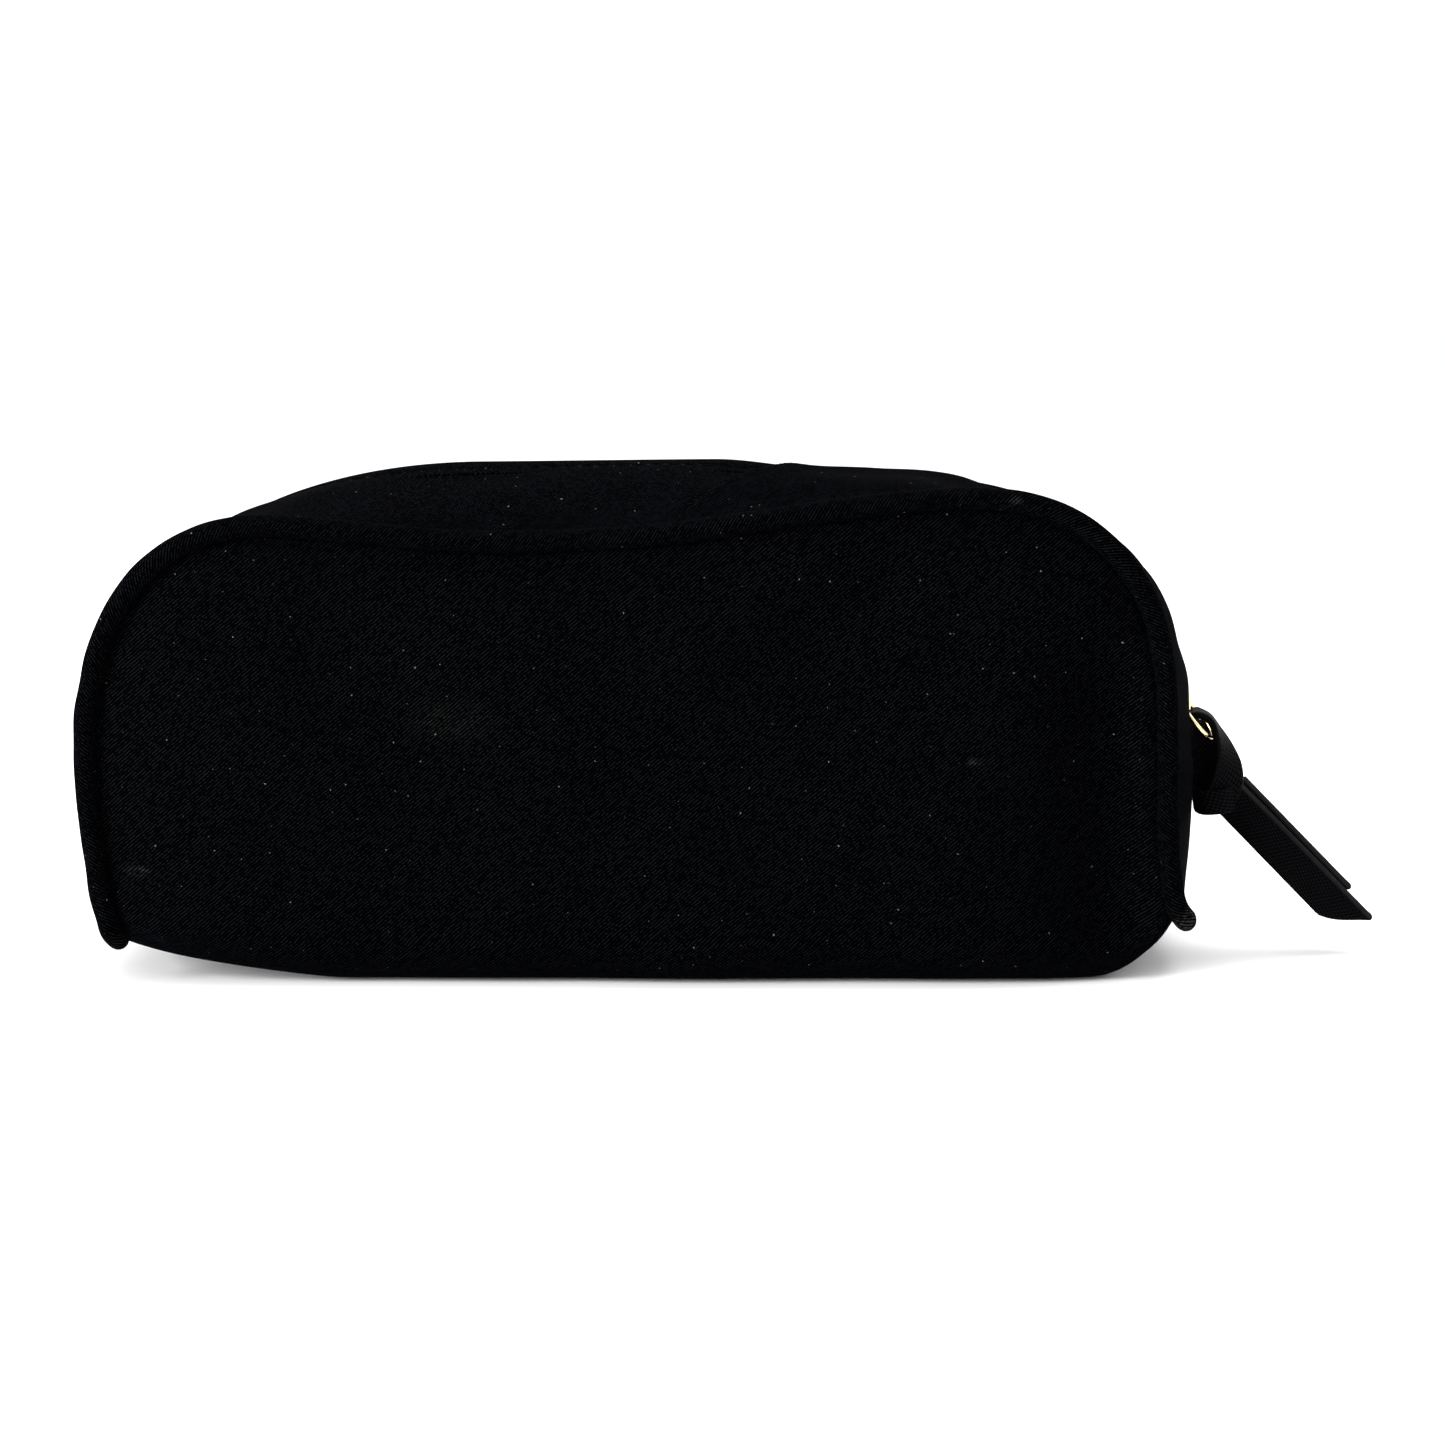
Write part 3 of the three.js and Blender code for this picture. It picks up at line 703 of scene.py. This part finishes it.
def ease_fold(points, row, reach=16, rounds=60):
    """Evens out each column of a sheet round one row, so that no crease shows there."""
    weight = np.clip(1 - np.abs(np.arange(points.shape[1]) - row) / reach, 0, 1)[None, 1:-1, None]
    for _ in range(rounds):
        middle = (points[:, :-2] + points[:, 2:]) / 2
        points[:, 1:-1] += (middle - points[:, 1:-1]) * weight * (0.6, 0.6, 0.2)
    return points


def cloth_places(points):
    """Cloth places of a wall sheet: along X, and by length up each column."""
    step = np.linalg.norm(np.diff(points, axis=1), axis=2)
    up = np.concatenate((np.zeros((len(points), 1)), np.cumsum(step, 1)), 1)
    middle = len(points) // 2
    up = np.broadcast_to(up[middle], up.shape)
    return np.stack((points[..., 0], up), -1)


def make_walls():
    wall = wall_grid()
    bend, base = fold_and_base(wall[:, 0], BASE_SEAM)
    below = np.concatenate((bend, base), 1)[:, ::-1]
    foot = below.shape[1]
    front = ease_fold(np.concatenate((below, wall), 1), foot)
    uv = cloth_places(front)
    uv[..., 1] += wall[:, :1, 2] - uv[:, foot : foot + 1, 1]
    uv[:, foot:, 1] = wall[..., 2]
    sheet = grid("front_wall_cloth", front, uv, WALL_CLOTH)
    thicken(sheet, WALL_THICK)
    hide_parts("front_panel", "front_interlining", "base_panel", "base_board")
    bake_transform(sheet)

    back = ease_fold(np.concatenate((bend[:, ::-1], wall), 1), bend.shape[1]) * (1, -1, 1)
    back[:, 0, 1] = BASE_SEAM
    uv = cloth_places(back)
    sheet = grid("back_wall_cloth", back, uv, CLOTH, flip=True)
    thicken(sheet, WALL_THICK)
    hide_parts("back_panel", "back_interlining")
    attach(sheet, "bag")
    return wall


def make_linings(wall):
    """Front, back and base linings, a little inside the cloth."""
    inset = wall.copy()
    middle_z = 46.0
    inset[..., 0] = wall[..., 0] * 0.965
    inset[..., 2] = middle_z + (wall[..., 2] - middle_z) * 0.93
    inset[..., 1] = wall[..., 1] * 0.6 - SEAM_Y * 0.4 + 3.6
    inset[..., 1] += ripple(inset * (1, 0, 1), 30.0, 11) * 0.35
    inset = inset[::3, ::3]
    uv = cloth_places(inset)
    front = grid("front_wall_lining", inset, uv, LINING, flip=True)
    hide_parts("front_lining")
    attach(front, "front_wall")
    back = grid("back_wall_lining", inset * (1, -1, 1), uv, LINING)
    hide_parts("back_lining")
    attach(back, "bag")
    for sheet in (front, back):
        thicken(sheet, LINING_THICK)

    x, y = pairings(np.linspace(-94, 95.5, 90), np.linspace(-26.5, 26.5, 31))
    rise = 5.0 * smooth(20.0, 27.0, np.abs(y))
    z = base_height(x) + 3.4 + rise
    points = np.stack((x, y, z), -1)
    points[..., 2] += ripple(points, 34.0, 12) * 0.25
    floor = grid("floor_lining", points, points[..., :2].copy(), LINING)
    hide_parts("base_lining")
    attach(floor, "bag")
    thicken(floor, LINING_THICK)


def make_piping():
    """Cord covered with bias cloth, its ends caught in the seams at the foot of each side."""
    s = np.linspace(0.012, 0.984, 560)
    xz = PIPING.at(s)
    line = np.stack((xz[:, 0], np.full(len(s), -HALF_DEPTH), xz[:, 1]), 1)
    left_end = np.array([(-97.2, -27.0, 7.2), (-97.6, -29.4, 8.0), (-98.3, -30.7, 9.6)])
    right_end = np.array([(100.8, -31.0, 13.0), (102.0, -30.8, 11.6), (103.0, -30.3, 10.8)])
    path = spline(np.concatenate((left_end, line[::8], right_end)), 9)
    path = path + ripple(path, 16.0, 21)[:, None] * 0.06
    radius = PIPING_RADIUS + 0.06 * ripple(path, 9.0, 22)
    for name, side, body in (("front", 1, "front_wall"), ("back", -1, "bag")):
        cover = tube(f"{name}_piping_cover", path * (1, side, 1), radius, PIPING_CLOTH)
        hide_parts(f"{name}_piping")
        if side == 1:
            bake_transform(cover)
        else:
            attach(cover, body)


# ---------------------------------------------------------------- gusset
def gusset_point(s, t, crease=1.0):
    """Place on the front half of the gusset, t from the seam (0) to its turned edge (1)."""
    seam = PIPING.at(s) - PIPING.outward(s) * 0.4
    out = ZIP.outward(s)
    crest = ZIP.at(s) + out * through(CREST, s)[..., None]
    rise = 0.6 * np.sin(math.pi / 2 * np.clip(t, 0, 1)) + 0.4 * np.clip(t, 0, 1)
    xz = blend_of(seam, crest, rise[..., None])
    belly = 0.5 * np.sin(math.pi * np.clip(t, 0, 1)) * np.abs(out[..., 0])
    xz = xz + out * belly[..., None]
    y = blend_of(-GUSSET_EDGE, -FOLD_Y, t)
    point = np.stack((xz[..., 0], y, xz[..., 1]), -1)
    waves = 0.55 * ripple(point, 30.0, 31) + 0.2 * ripple(point, 13.0, 33)
    waves = waves * (1 - 0.8 * smooth(0.86, 0.92, s))
    lift = gusset_crease(point) * crease + waves * np.sin(math.pi * np.clip(t, 0, 1))
    pull = 0.36 - 0.2 * np.cos(2 * math.pi * (s * ZIP.length - STITCH_START) / STITCH_STEP)
    lift = lift - pull * np.exp(-(((t - STITCH_ROW) * (SEAM_Y - FOLD_Y) / 0.65) ** 2))
    lift = lift + 0.12 * ripple(point, 6.5, 32) * np.exp(-np.clip(t, 0, 1) * 9)
    point[..., 0] += out[..., 0] * lift
    point[..., 2] += out[..., 1] * lift
    return point


def gusset_crease(point):
    """The fold that climbs the gusset right of the middle, its right side standing proud."""
    t = (point[..., 1] + SEAM_Y) / (SEAM_Y - FOLD_Y)
    past = point[..., 0] - (5.0 + 31.0 * t)
    hump = smooth(-1.2, 0.8, past) * np.exp(-np.clip(past, 0, None) / 30.0)
    groove = np.exp(-(((past + 2.6) / 1.5) ** 2))
    depth = 3.0 * hump - 0.7 * groove
    return depth * smooth(0.02, 0.3, t) * (1 - 0.9 * smooth(0.7, 1.0, t))


def gusset_sheet(mirror):
    """Front half of the gusset, rolled over its turned edge and a little way back under."""
    s = blend_of(ZIP_SPAN[0], ZIP_SPAN[1], np.linspace(0, 1, 420))
    t = np.concatenate((np.linspace(0, 0.9, 40), np.linspace(0.915, 1.0, 8)))
    crease = BACK_CREASE if mirror else 1.0
    sheet = gusset_point(*pairings(s, t), crease)
    out = ZIP.outward(s)
    out = np.stack((out[:, 0], np.zeros(len(s)), out[:, 1]), 1)
    rolled = []
    for angle in np.radians(np.linspace(20, 180, 9)):
        turn = np.array((0, math.sin(angle) * 0.65, 0)) + out * (math.cos(angle) - 1) * 0.65
        rolled.append(sheet[:, -1] + turn)
    for back in (1.5, 3.5, 6.0):
        rolled.append(rolled[8] + np.array((0, -back, 0)))
    points = np.concatenate((sheet, np.stack(rolled, 1)), 1)
    step = np.linalg.norm(np.diff(points, axis=1), axis=2)
    width = np.concatenate((np.zeros((len(s), 1)), np.cumsum(step, 1)), 1)
    run = np.broadcast_to((s * ZIP.length)[:, None], width.shape)
    points = points * (1, -1, 1) if mirror else points
    return points, np.stack((run, width), -1)


def make_gusset():
    points, uv = gusset_sheet(False)
    front = grid("front_gusset_cloth", points, uv, CLOTH, flip=True)
    thicken(front, GUSSET_THICK)
    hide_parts("front_gusset")
    bend_with_front(front)
    points, uv = gusset_sheet(True)
    back = grid("back_gusset_cloth", points, uv, CLOTH)
    thicken(back, GUSSET_THICK)
    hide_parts("back_gusset")
    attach(back, "bag")


def bend_with_front(piece):
    """Bakes the piece's placement into its mesh, so that it stays where it was built."""
    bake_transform(piece)


def side_point(s, across):
    """Place on a side below the zip, across from -1 at the front seam to 1 at the back."""
    y = GUSSET_EDGE * across
    t = np.clip((GUSSET_EDGE - np.abs(y)) / (GUSSET_EDGE - FOLD_Y), 0, 1)
    p = gusset_point(s, t)
    p[..., 1] = y
    out = ZIP.outward(s)
    under = smooth(ZIP_SPAN[0] - 0.002, ZIP_SPAN[0] + 0.003, s)
    under = under * smooth(1 - ZIP_SPAN[1] - 0.002, 1 - ZIP_SPAN[1] + 0.003, 1 - s)
    p[..., 0] -= out[..., 0] * 0.75 * under
    p[..., 2] -= out[..., 1] * 0.75 * under
    return p


def base_end(from_end):
    """X of the base's left or right end."""
    return PIPING.at(foot_share(from_end))[0]


def side_hem(bottom, from_end, rows=5):
    """Rows that carry a side's lower edge in over the end of the base and its two folds."""
    side = 1 if from_end else -1
    end_x = base_end(from_end)
    radius = corner_radius(end_x)
    from_fold = np.clip((SEAM_Y - np.abs(bottom[:, 1])) / radius, 0, 1)
    z = foot_of_wall(end_x) - radius * np.sqrt(1 - (1 - from_fold) ** 2) + 0.4
    edge = np.stack((np.full(len(z), end_x - 0.6 * side), bottom[:, 1], z), -1)
    share = np.linspace(0, 1, rows + 1)[1:, None, None]
    return blend_of(bottom, edge, share)


def with_hem(points, uv, from_end):
    """Adds the hem at the foot of a side, which is the last row on the right, the first on the left."""
    foot = -1 if from_end else 0
    hem = side_hem(points[foot], from_end)
    steps = np.arange(1, len(hem) + 1)[:, None] * (0.6 if from_end else -0.6)
    hem_uv = np.stack((uv[foot, :, 0] + steps, uv[foot, :, 1] + 0 * steps), -1)
    if from_end:
        return np.concatenate((points, hem)), np.concatenate((uv, hem_uv))
    return np.concatenate((hem[::-1], points)), np.concatenate((hem_uv[::-1], uv))


def follow_base(points, from_end):
    """Lifts the foot of a side where the base's end lifts above the zip line's own foot."""
    rise = max(0.0, base_height(base_end(from_end)) - 8.5)
    points[..., 2] += rise * (1 - smooth(7, 24, points[..., 2]))
    return points


def make_sides():
    tuck = 0.005
    for side, ends in (("left", (0.0, ZIP_SPAN[0] + tuck)), ("right", (ZIP_SPAN[1] - tuck, 1.0))):
        s, across = pairings(np.linspace(*ends, 60), np.linspace(-1, 1, 101))
        points = follow_base(side_point(s, across), side == "right")
        uv = np.stack((s * ZIP.length, across * HALF_DEPTH), -1)
        whole, whole_uv = with_hem(points, uv, side == "right")
        panel = grid(f"{side}_side_cloth", whole, whole_uv, CLOTH, flip=True)
        thicken(panel, SIDE_THICK)
        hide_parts(f"{side}_side_panel")
        bend_with_front(panel)

        inside = points.copy()
        inside[..., 0] -= 5.4 * np.sign(points[..., 0])
        inside[..., 1] *= 0.9
        rows = slice(4, 56) if side == "left" else slice(4, 52)
        lining = grid(f"{side}_side_inner", inside[rows], uv[rows], LINING)
        thicken(lining, 0.3)
        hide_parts(f"{side}_side_lining")
        bend_with_front(lining)


def make_gusset_linings():
    s = blend_of(ZIP_SPAN[0], ZIP_SPAN[1], np.linspace(0.0, 1.0, 220))
    t = np.linspace(0.04, 0.78, 16)
    points = gusset_point(*pairings(s, t))
    out = ZIP.outward(s)
    points[..., 0] -= out[:, None, 0] * 3.4
    points[..., 2] -= out[:, None, 1] * 3.4
    run = np.broadcast_to((s * ZIP.length)[:, None], points.shape[:2])
    uv = np.stack((run, points[..., 1]), -1)
    front = grid("front_gusset_inner", points, uv, LINING)
    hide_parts("front_gusset_lining")
    bend_with_front(front)
    back = grid("back_gusset_inner", points * (1, -1, 1), uv, LINING, flip=True)
    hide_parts("back_gusset_lining")
    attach(back, "bag")


def make_topstitching():
    """A row of stitches 3 mm from the gusset's turned edge, sunk a little into the cloth."""
    end = ZIP_SPAN[1] * ZIP.length - 3.0
    for name, mirror, crease in (("front", 1, 1.0), ("back", -1, BACK_CREASE)):
        verts, faces, uvs = [], [], []
        for at in np.arange(STITCH_START, end, STITCH_STEP):
            s = (at + np.linspace(-0.5, 0.5, 9) * STITCH_LENGTH) / ZIP.length
            line = gusset_point(s, np.full(9, STITCH_ROW), crease)
            out = ZIP.outward(s)
            arch = 0.2 - 0.3 * np.abs(np.linspace(-1, 1, 9)) ** 3
            line[:, 0] += out[:, 0] * arch
            line[:, 2] += out[:, 1] * arch
            add_tube_mesh(verts, faces, uvs, line * (1, mirror, 1), THREAD_RADIUS)
        row = new_mesh(f"{name}_topstitching", verts, faces, uvs, [THREAD])
        if mirror == 1:
            bend_with_front(row)
        else:
            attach(row, "bag")


def add_tube_mesh(verts, faces, uvs, line, radius, around=8):
    """Adds a short tube along line to a list of points, faces and cloth places."""
    side, other = directions_along(line, np.broadcast_to((0.01, 1.0, 0.02), line.shape))
    first = len(verts)
    run = lengths_along(line)
    for i, centre in enumerate(line):
        for k in range(around):
            a = 2 * math.pi * k / around
            verts.append(centre + radius * (side[i] * math.cos(a) + other[i] * math.sin(a)))
    for i in range(len(line) - 1):
        for k in range(around):
            j = (k + 1) % around
            faces.append([first + i * around + k, first + i * around + j,
                          first + (i + 1) * around + j, first + (i + 1) * around + k])
            uvs += [(run[i], k * 0.2), (run[i], k * 0.2 + 0.2),
                    (run[i + 1], k * 0.2 + 0.2), (run[i + 1], k * 0.2)]
    for ring in (list(range(around))[::-1], [(len(line) - 1) * around + k for k in range(around)]):
        faces.append([first + k for k in ring])
        uvs += [(0.0, 0.0)] * around


# ---------------------------------------------------------------- zip
def beside_zip(s, out, y):
    """Points beside the zip's line, raised by out and set at depth y."""
    xz = ZIP.at(s) + ZIP.outward(s) * np.asarray(out)[..., None]
    return np.stack((xz[..., 0], np.broadcast_to(y, xz.shape[:-1]), xz[..., 1]), -1)


def make_zip():
    s = blend_of(ZIP_SPAN[0] - 0.012, ZIP_SPAN[1] + 0.012, np.linspace(0, 1, 260))
    y = np.linspace(-8.0, -0.12, 9)
    tape = beside_zip(s[:, None] * np.ones(9), np.full((260, 9), -2.4), y[None, :])
    uv = np.stack((np.broadcast_to((s * ZIP.length)[:, None], (260, 9)), tape[..., 1]), -1)
    for name, mirror in (("front", 1), ("back", -1)):
        strip = grid(f"{name}_zip_tape_cloth", tape * (1, mirror, 1), uv, TAPE, flip=mirror > 0)
        thicken(strip, TAPE_THICK)
        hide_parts(f"{name}_zip_tape")
        coil = make_coil(name, mirror)
        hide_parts(f"{name}_zip_coil")
        if mirror == 1:
            bend_with_front(strip)
            bend_with_front(coil)
        else:
            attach(strip, "bag")
            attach(coil, "bag")


def make_coil(name, mirror):
    """One row of a coil zip: a flattened helix of nylon wire, half a pitch off its twin."""
    start = (ZIP_SPAN[0] + 0.024) * ZIP.length
    end = (ZIP_SPAN[1] - 0.0185) * ZIP.length
    loops = int((end - start) / COIL_PITCH)
    per_loop = 14
    turn = np.arange(loops * per_loop + 1) / per_loop
    angle = 2 * math.pi * turn
    run = start + (turn + (0.25 if mirror == 1 else -0.25)) * COIL_PITCH
    flat = np.sign(np.sin(angle)) * np.abs(np.sin(angle)) ** 0.7
    out = -1.82 + 0.33 * flat
    y = -1.25 + 1.08 * np.cos(angle)
    line = beside_zip(run / ZIP.length, out, y) * (1, mirror, 1)
    verts, faces, uvs = [], [], []
    add_tube_mesh(verts, faces, uvs, line, COIL_WIRE, around=6)
    return new_mesh(f"{name}_coil_teeth", verts, faces, uvs, [NYLON])


# ---------------------------------------------------------------- metal
def finish_metal():
    """The slider, its bridge and the stops keep their CAD shapes, with rounded edges."""
    for node, width in (("slider_body", 0.22), ("slider_bridge", 0.2), ("front_top_stop", 0.2),
                        ("back_top_stop", 0.2), ("zip_bottom_stop", 0.25)):
        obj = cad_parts[node]
        obj.data.materials.clear()
        obj.data.materials.append(GOLD)
        bevel = obj.modifiers.new("rounded edges", "BEVEL")
        bevel.width = width * MM
        bevel.segments = 3
        bevel.limit_method = "ANGLE"
        obj.modifiers.new("even shading", "WEIGHTED_NORMAL")


def make_ring():
    down = np.array((math.cos(RING_DROP), 0, -math.sin(RING_DROP)))
    centre = np.array(RING_HINGE) + down * RING_RADIUS
    square = np.cross(down, (0, 1, 0))
    across = np.array((0, math.cos(RING_TURN), 0)) + square * math.sin(RING_TURN)
    a = np.linspace(0, 2 * math.pi, 97)[:-1]
    line = centre + RING_RADIUS * (np.cos(a)[:, None] * down + 1.16 * np.sin(a)[:, None] * across)
    tangent = np.roll(line, -1, 0) - np.roll(line, 1, 0)
    tangent /= np.linalg.norm(tangent, axis=1, keepdims=True)
    normal = np.cross(down, across)
    side = np.broadcast_to(normal, line.shape)
    other = np.cross(tangent, side)
    b = np.linspace(0, 2 * math.pi, 25)[:-1]
    points = line[:, None] + RING_WIRE * (
        side[:, None] * np.cos(b)[None, :, None] + other[:, None] * np.sin(b)[None, :, None]
    )
    points = np.concatenate((points, points[:1]))
    uv = np.stack(np.meshgrid(np.arange(97) * 0.3, np.arange(24) * 0.17, indexing="ij"), -1)
    ring = grid("pull_ring_wire", points, uv, GOLD, closed_across=True)
    weld = ring.modifiers.new("weld", "WELD")
    weld.merge_threshold = 1e-6
    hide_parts("pull_ring")
    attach(ring, "ring")


# ---------------------------------------------------------------- leather pull
def ribbon(name, path, side_hint, width, thick, edge_look):
    """A leather strip along path, its width along side_hint, with softly rounded painted edges."""
    side, other = directions_along(path, side_hint)
    half, edge = width / 2, thick / 2
    profile = []
    for x, sign in ((half - edge * 0.8, 1), (-half + edge * 0.8, -1)):
        for a in np.radians(np.linspace(-90, 90, 7)) * sign:
            profile.append((x + sign * math.cos(a) * edge * 0.8, math.sin(a) * edge))
    across = np.linspace(-1, 1, 9)[1:-1] * (half - edge * 0.8)
    top = [(x, edge) for x in across[::-1]]
    bottom = [(x, -edge) for x in across]
    outline = np.array(profile[:7] + top + profile[7:] + bottom)
    points = path[:, None] + side[:, None] * outline[None, :, :1]
    points = points + other[:, None] * outline[None, :, 1:]
    run = np.broadcast_to(lengths_along(path)[:, None], points.shape[:2])
    uv = np.stack((run, np.broadcast_to(outline[:, 0], run.shape)), -1)
    strip = grid(name, points, uv, LEATHER, closed_across=True, flip=True)
    strip.data.materials.append(edge_look)
    on_edge = np.abs(outline[:, 0] + np.roll(outline[:, 0], -1)) / 2 > half - edge * 0.75
    strip.data.polygons.foreach_set("material_index", np.tile(on_edge.astype(int), len(path) - 1))
    return strip


def make_knot():
    """The strap goes up through the ring, turns over its wire and comes down into a wrap."""
    path = spline(
        [
            (108.9, 2.2, 29.0), (108.6, 2.4, 34.0), (107.7, 2.4, 39.0),
            (105.5, 2.0, 42.6), (104.6, 1.0, 44.6), (106.0, 0.2, 46.0),
            (108.1, -0.2, 45.3), (110.0, -0.8, 42.6), (111.4, -2.2, 39.3),
            (111.9, -3.4, 36.0), (111.5, -4.0, 33.0), (110.4, -3.8, 30.4),
            (109.0, -3.0, 29.0),
        ],
        8,
    )
    share = lengths_along(path) / lengths_along(path)[-1]
    turn = np.radians(through(((0, 84), (0.22, 80), (0.33, 45), (0.44, 4), (0.54, 4), (0.68, 24),
                               (0.82, 60), (0.9, 78), (1.0, 86)), share))
    hint = np.stack((np.sin(turn), np.cos(turn), 0 * turn), 1)
    loop = ribbon("strap_loop", path, hint, LOOP_WIDTH, LOOP_THICK, EDGE)
    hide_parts("strap_knot")
    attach(loop, "knot")

    a = np.linspace(0, 2 * math.pi, 60)
    centre = np.array((109.6, -0.7, 30.0))
    squash = np.abs(np.sin(a)) ** 0.75 * np.sign(np.sin(a))
    reach = np.abs(np.cos(a)) ** 0.8 * np.sign(np.cos(a))
    path = centre + np.stack((3.6 * reach, 4.7 * squash, 0.5 * np.cos(a) + 0.4 * np.sin(a)), 1)
    hint = np.broadcast_to((-0.12, 0.0, 1.0), path.shape)
    wrap = ribbon("strap_wrap", path, hint, WRAP_WIDTH, WRAP_THICK, LEATHER)
    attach(wrap, "knot")


def tail_outline(length):
    """Half-rounded outline of a strap's end, cut on the slant, from the root along the fall."""
    w = STRAP_WIDTH / 2
    long_side = [(-1.5, w), (length - 1.6, w)]
    tip = spline([(length - 1.6, w), (length - 0.1, w - 0.1), (length - 0.6, w - 0.8)], 6)
    slant = spline([(length - 0.6, w - 0.8), (length - 5.0, -w + 1.2), (length - 6.6, -w + 0.1)], 8)
    heel = [(length - 7.6, -w), (-5.0, -w)]
    return np.array(long_side[:1] + tip.tolist() + slant[1:].tolist() + heel)


def make_tail(name, body, length, side, node):
    fall = np.array((math.cos(STRAP_DROP), 0, -math.sin(STRAP_DROP)))
    level = np.array((math.sin(STRAP_DROP), 0, math.cos(STRAP_DROP)))
    width = level * math.cos(STRAP_ROLL) + np.array((0, -math.sin(STRAP_ROLL), 0))
    facing = np.cross(fall, width)
    middle = side * (STRAP_THICK + STRAP_GAP) / 2
    edge = STRAP_THICK / 2
    ring = tail_outline(length)
    count = len(ring)
    toward = ring - np.array((length * 0.4, 0))
    toward /= np.linalg.norm(toward, axis=1, keepdims=True)
    rings = np.radians(np.linspace(-90, 90, 9))
    verts, faces, uvs, looks = [], [], [], []
    for a in rings:
        for p in ring - toward * 0.55 * (1 - math.cos(a)):
            off = middle + math.sin(a) * edge - STRAP_SAG * p[0] ** 2
            verts.append(STRAP_ROOT + fall * p[0] + width * p[1] + facing * off)
    for r in range(len(rings) - 1):
        for k in range(count):
            j = (k + 1) % count
            faces.append([r * count + k, (r + 1) * count + k, (r + 1) * count + j, r * count + j])
            uvs += [(ring[k][0], r), (ring[k][0], r + 1), (ring[j][0], r + 1), (ring[j][0], r)]
            looks.append(1)
    for r, order in ((0, 1), (len(rings) - 1, -1)):
        cap = [r * count + k for k in range(count)][::order]
        faces.append(cap)
        uvs += [tuple(ring[k % count]) for k in cap]
        looks.append(0)
    tail = new_mesh(name, verts, faces, uvs, [LEATHER, EDGE], looks)
    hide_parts(node)
    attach(tail, body)


# ---------------------------------------------------------------- scene
def make_stage():
    s = Shader("pale_floor", (0.95, 0.95, 0.95), 0.8)
    s.bump(s.noise(30.0), 0.02, 0.1)
    mesh = bpy.data.meshes.new("floor")
    half = 3.0
    corners = [(-half, -half, 0), (half, -half, 0), (half, half, 0), (-half, half, 0)]
    mesh.from_pydata(corners, [], [(0, 1, 2, 3)])
    mesh.materials.append(s.material)
    floor = bpy.data.objects.new("floor", mesh)
    floor.location.z = -0.0002
    bpy.context.scene.collection.objects.link(floor)


def aim(obj, at, target):
    obj.location = at
    obj.rotation_euler = (Vector(target) - Vector(at)).to_track_quat("-Z", "Y").to_euler()


def make_lights():
    world = bpy.data.worlds.new("studio")
    world.use_nodes = True
    background = world.node_tree.nodes["Background"]
    background.inputs["Color"].default_value = (1, 1, 1, 1)
    background.inputs["Strength"].default_value = 1.02
    bpy.context.scene.world = world
    for name, at, size, power in (
        ("top", (0.1, 0.3, 1.3), 1.0, 15.0),
        ("left", (-1.6, -0.9, 0.55), 0.9, 72.0),
        ("right", (1.1, 0.3, 0.9), 0.8, 4.0),
    ):
        light = bpy.data.lights.new(name, "AREA")
        light.size = size
        light.energy = power
        lamp = bpy.data.objects.new(name, light)
        bpy.context.scene.collection.objects.link(lamp)
        aim(lamp, at, (0, 0, 0.05))


def make_camera():
    data = bpy.data.cameras.new("camera")
    data.lens = CAMERA_LENS
    data.sensor_width = 36.0
    data.clip_start = 0.01
    camera = bpy.data.objects.new("camera", data)
    bpy.context.scene.collection.objects.link(camera)
    aim(camera, CAMERA_AT, CAMERA_LOOKS_AT)
    camera.rotation_euler.rotate_axis("Z", -CAMERA_ROLL)
    bpy.context.scene.camera = camera


bpy.context.scene.view_settings.view_transform = "Standard"
make_camera()
make_lights()
make_stage()
make_linings(make_walls())
make_piping()
make_gusset()
make_sides()
make_gusset_linings()
make_topstitching()
make_zip()
finish_metal()
make_ring()
make_knot()
make_tail("front_tail_strap", "front_tail", FRONT_TAIL, 1, "front_strap_tail")
make_tail("back_tail_strap", "back_tail", BACK_TAIL, -1, "back_strap_tail")
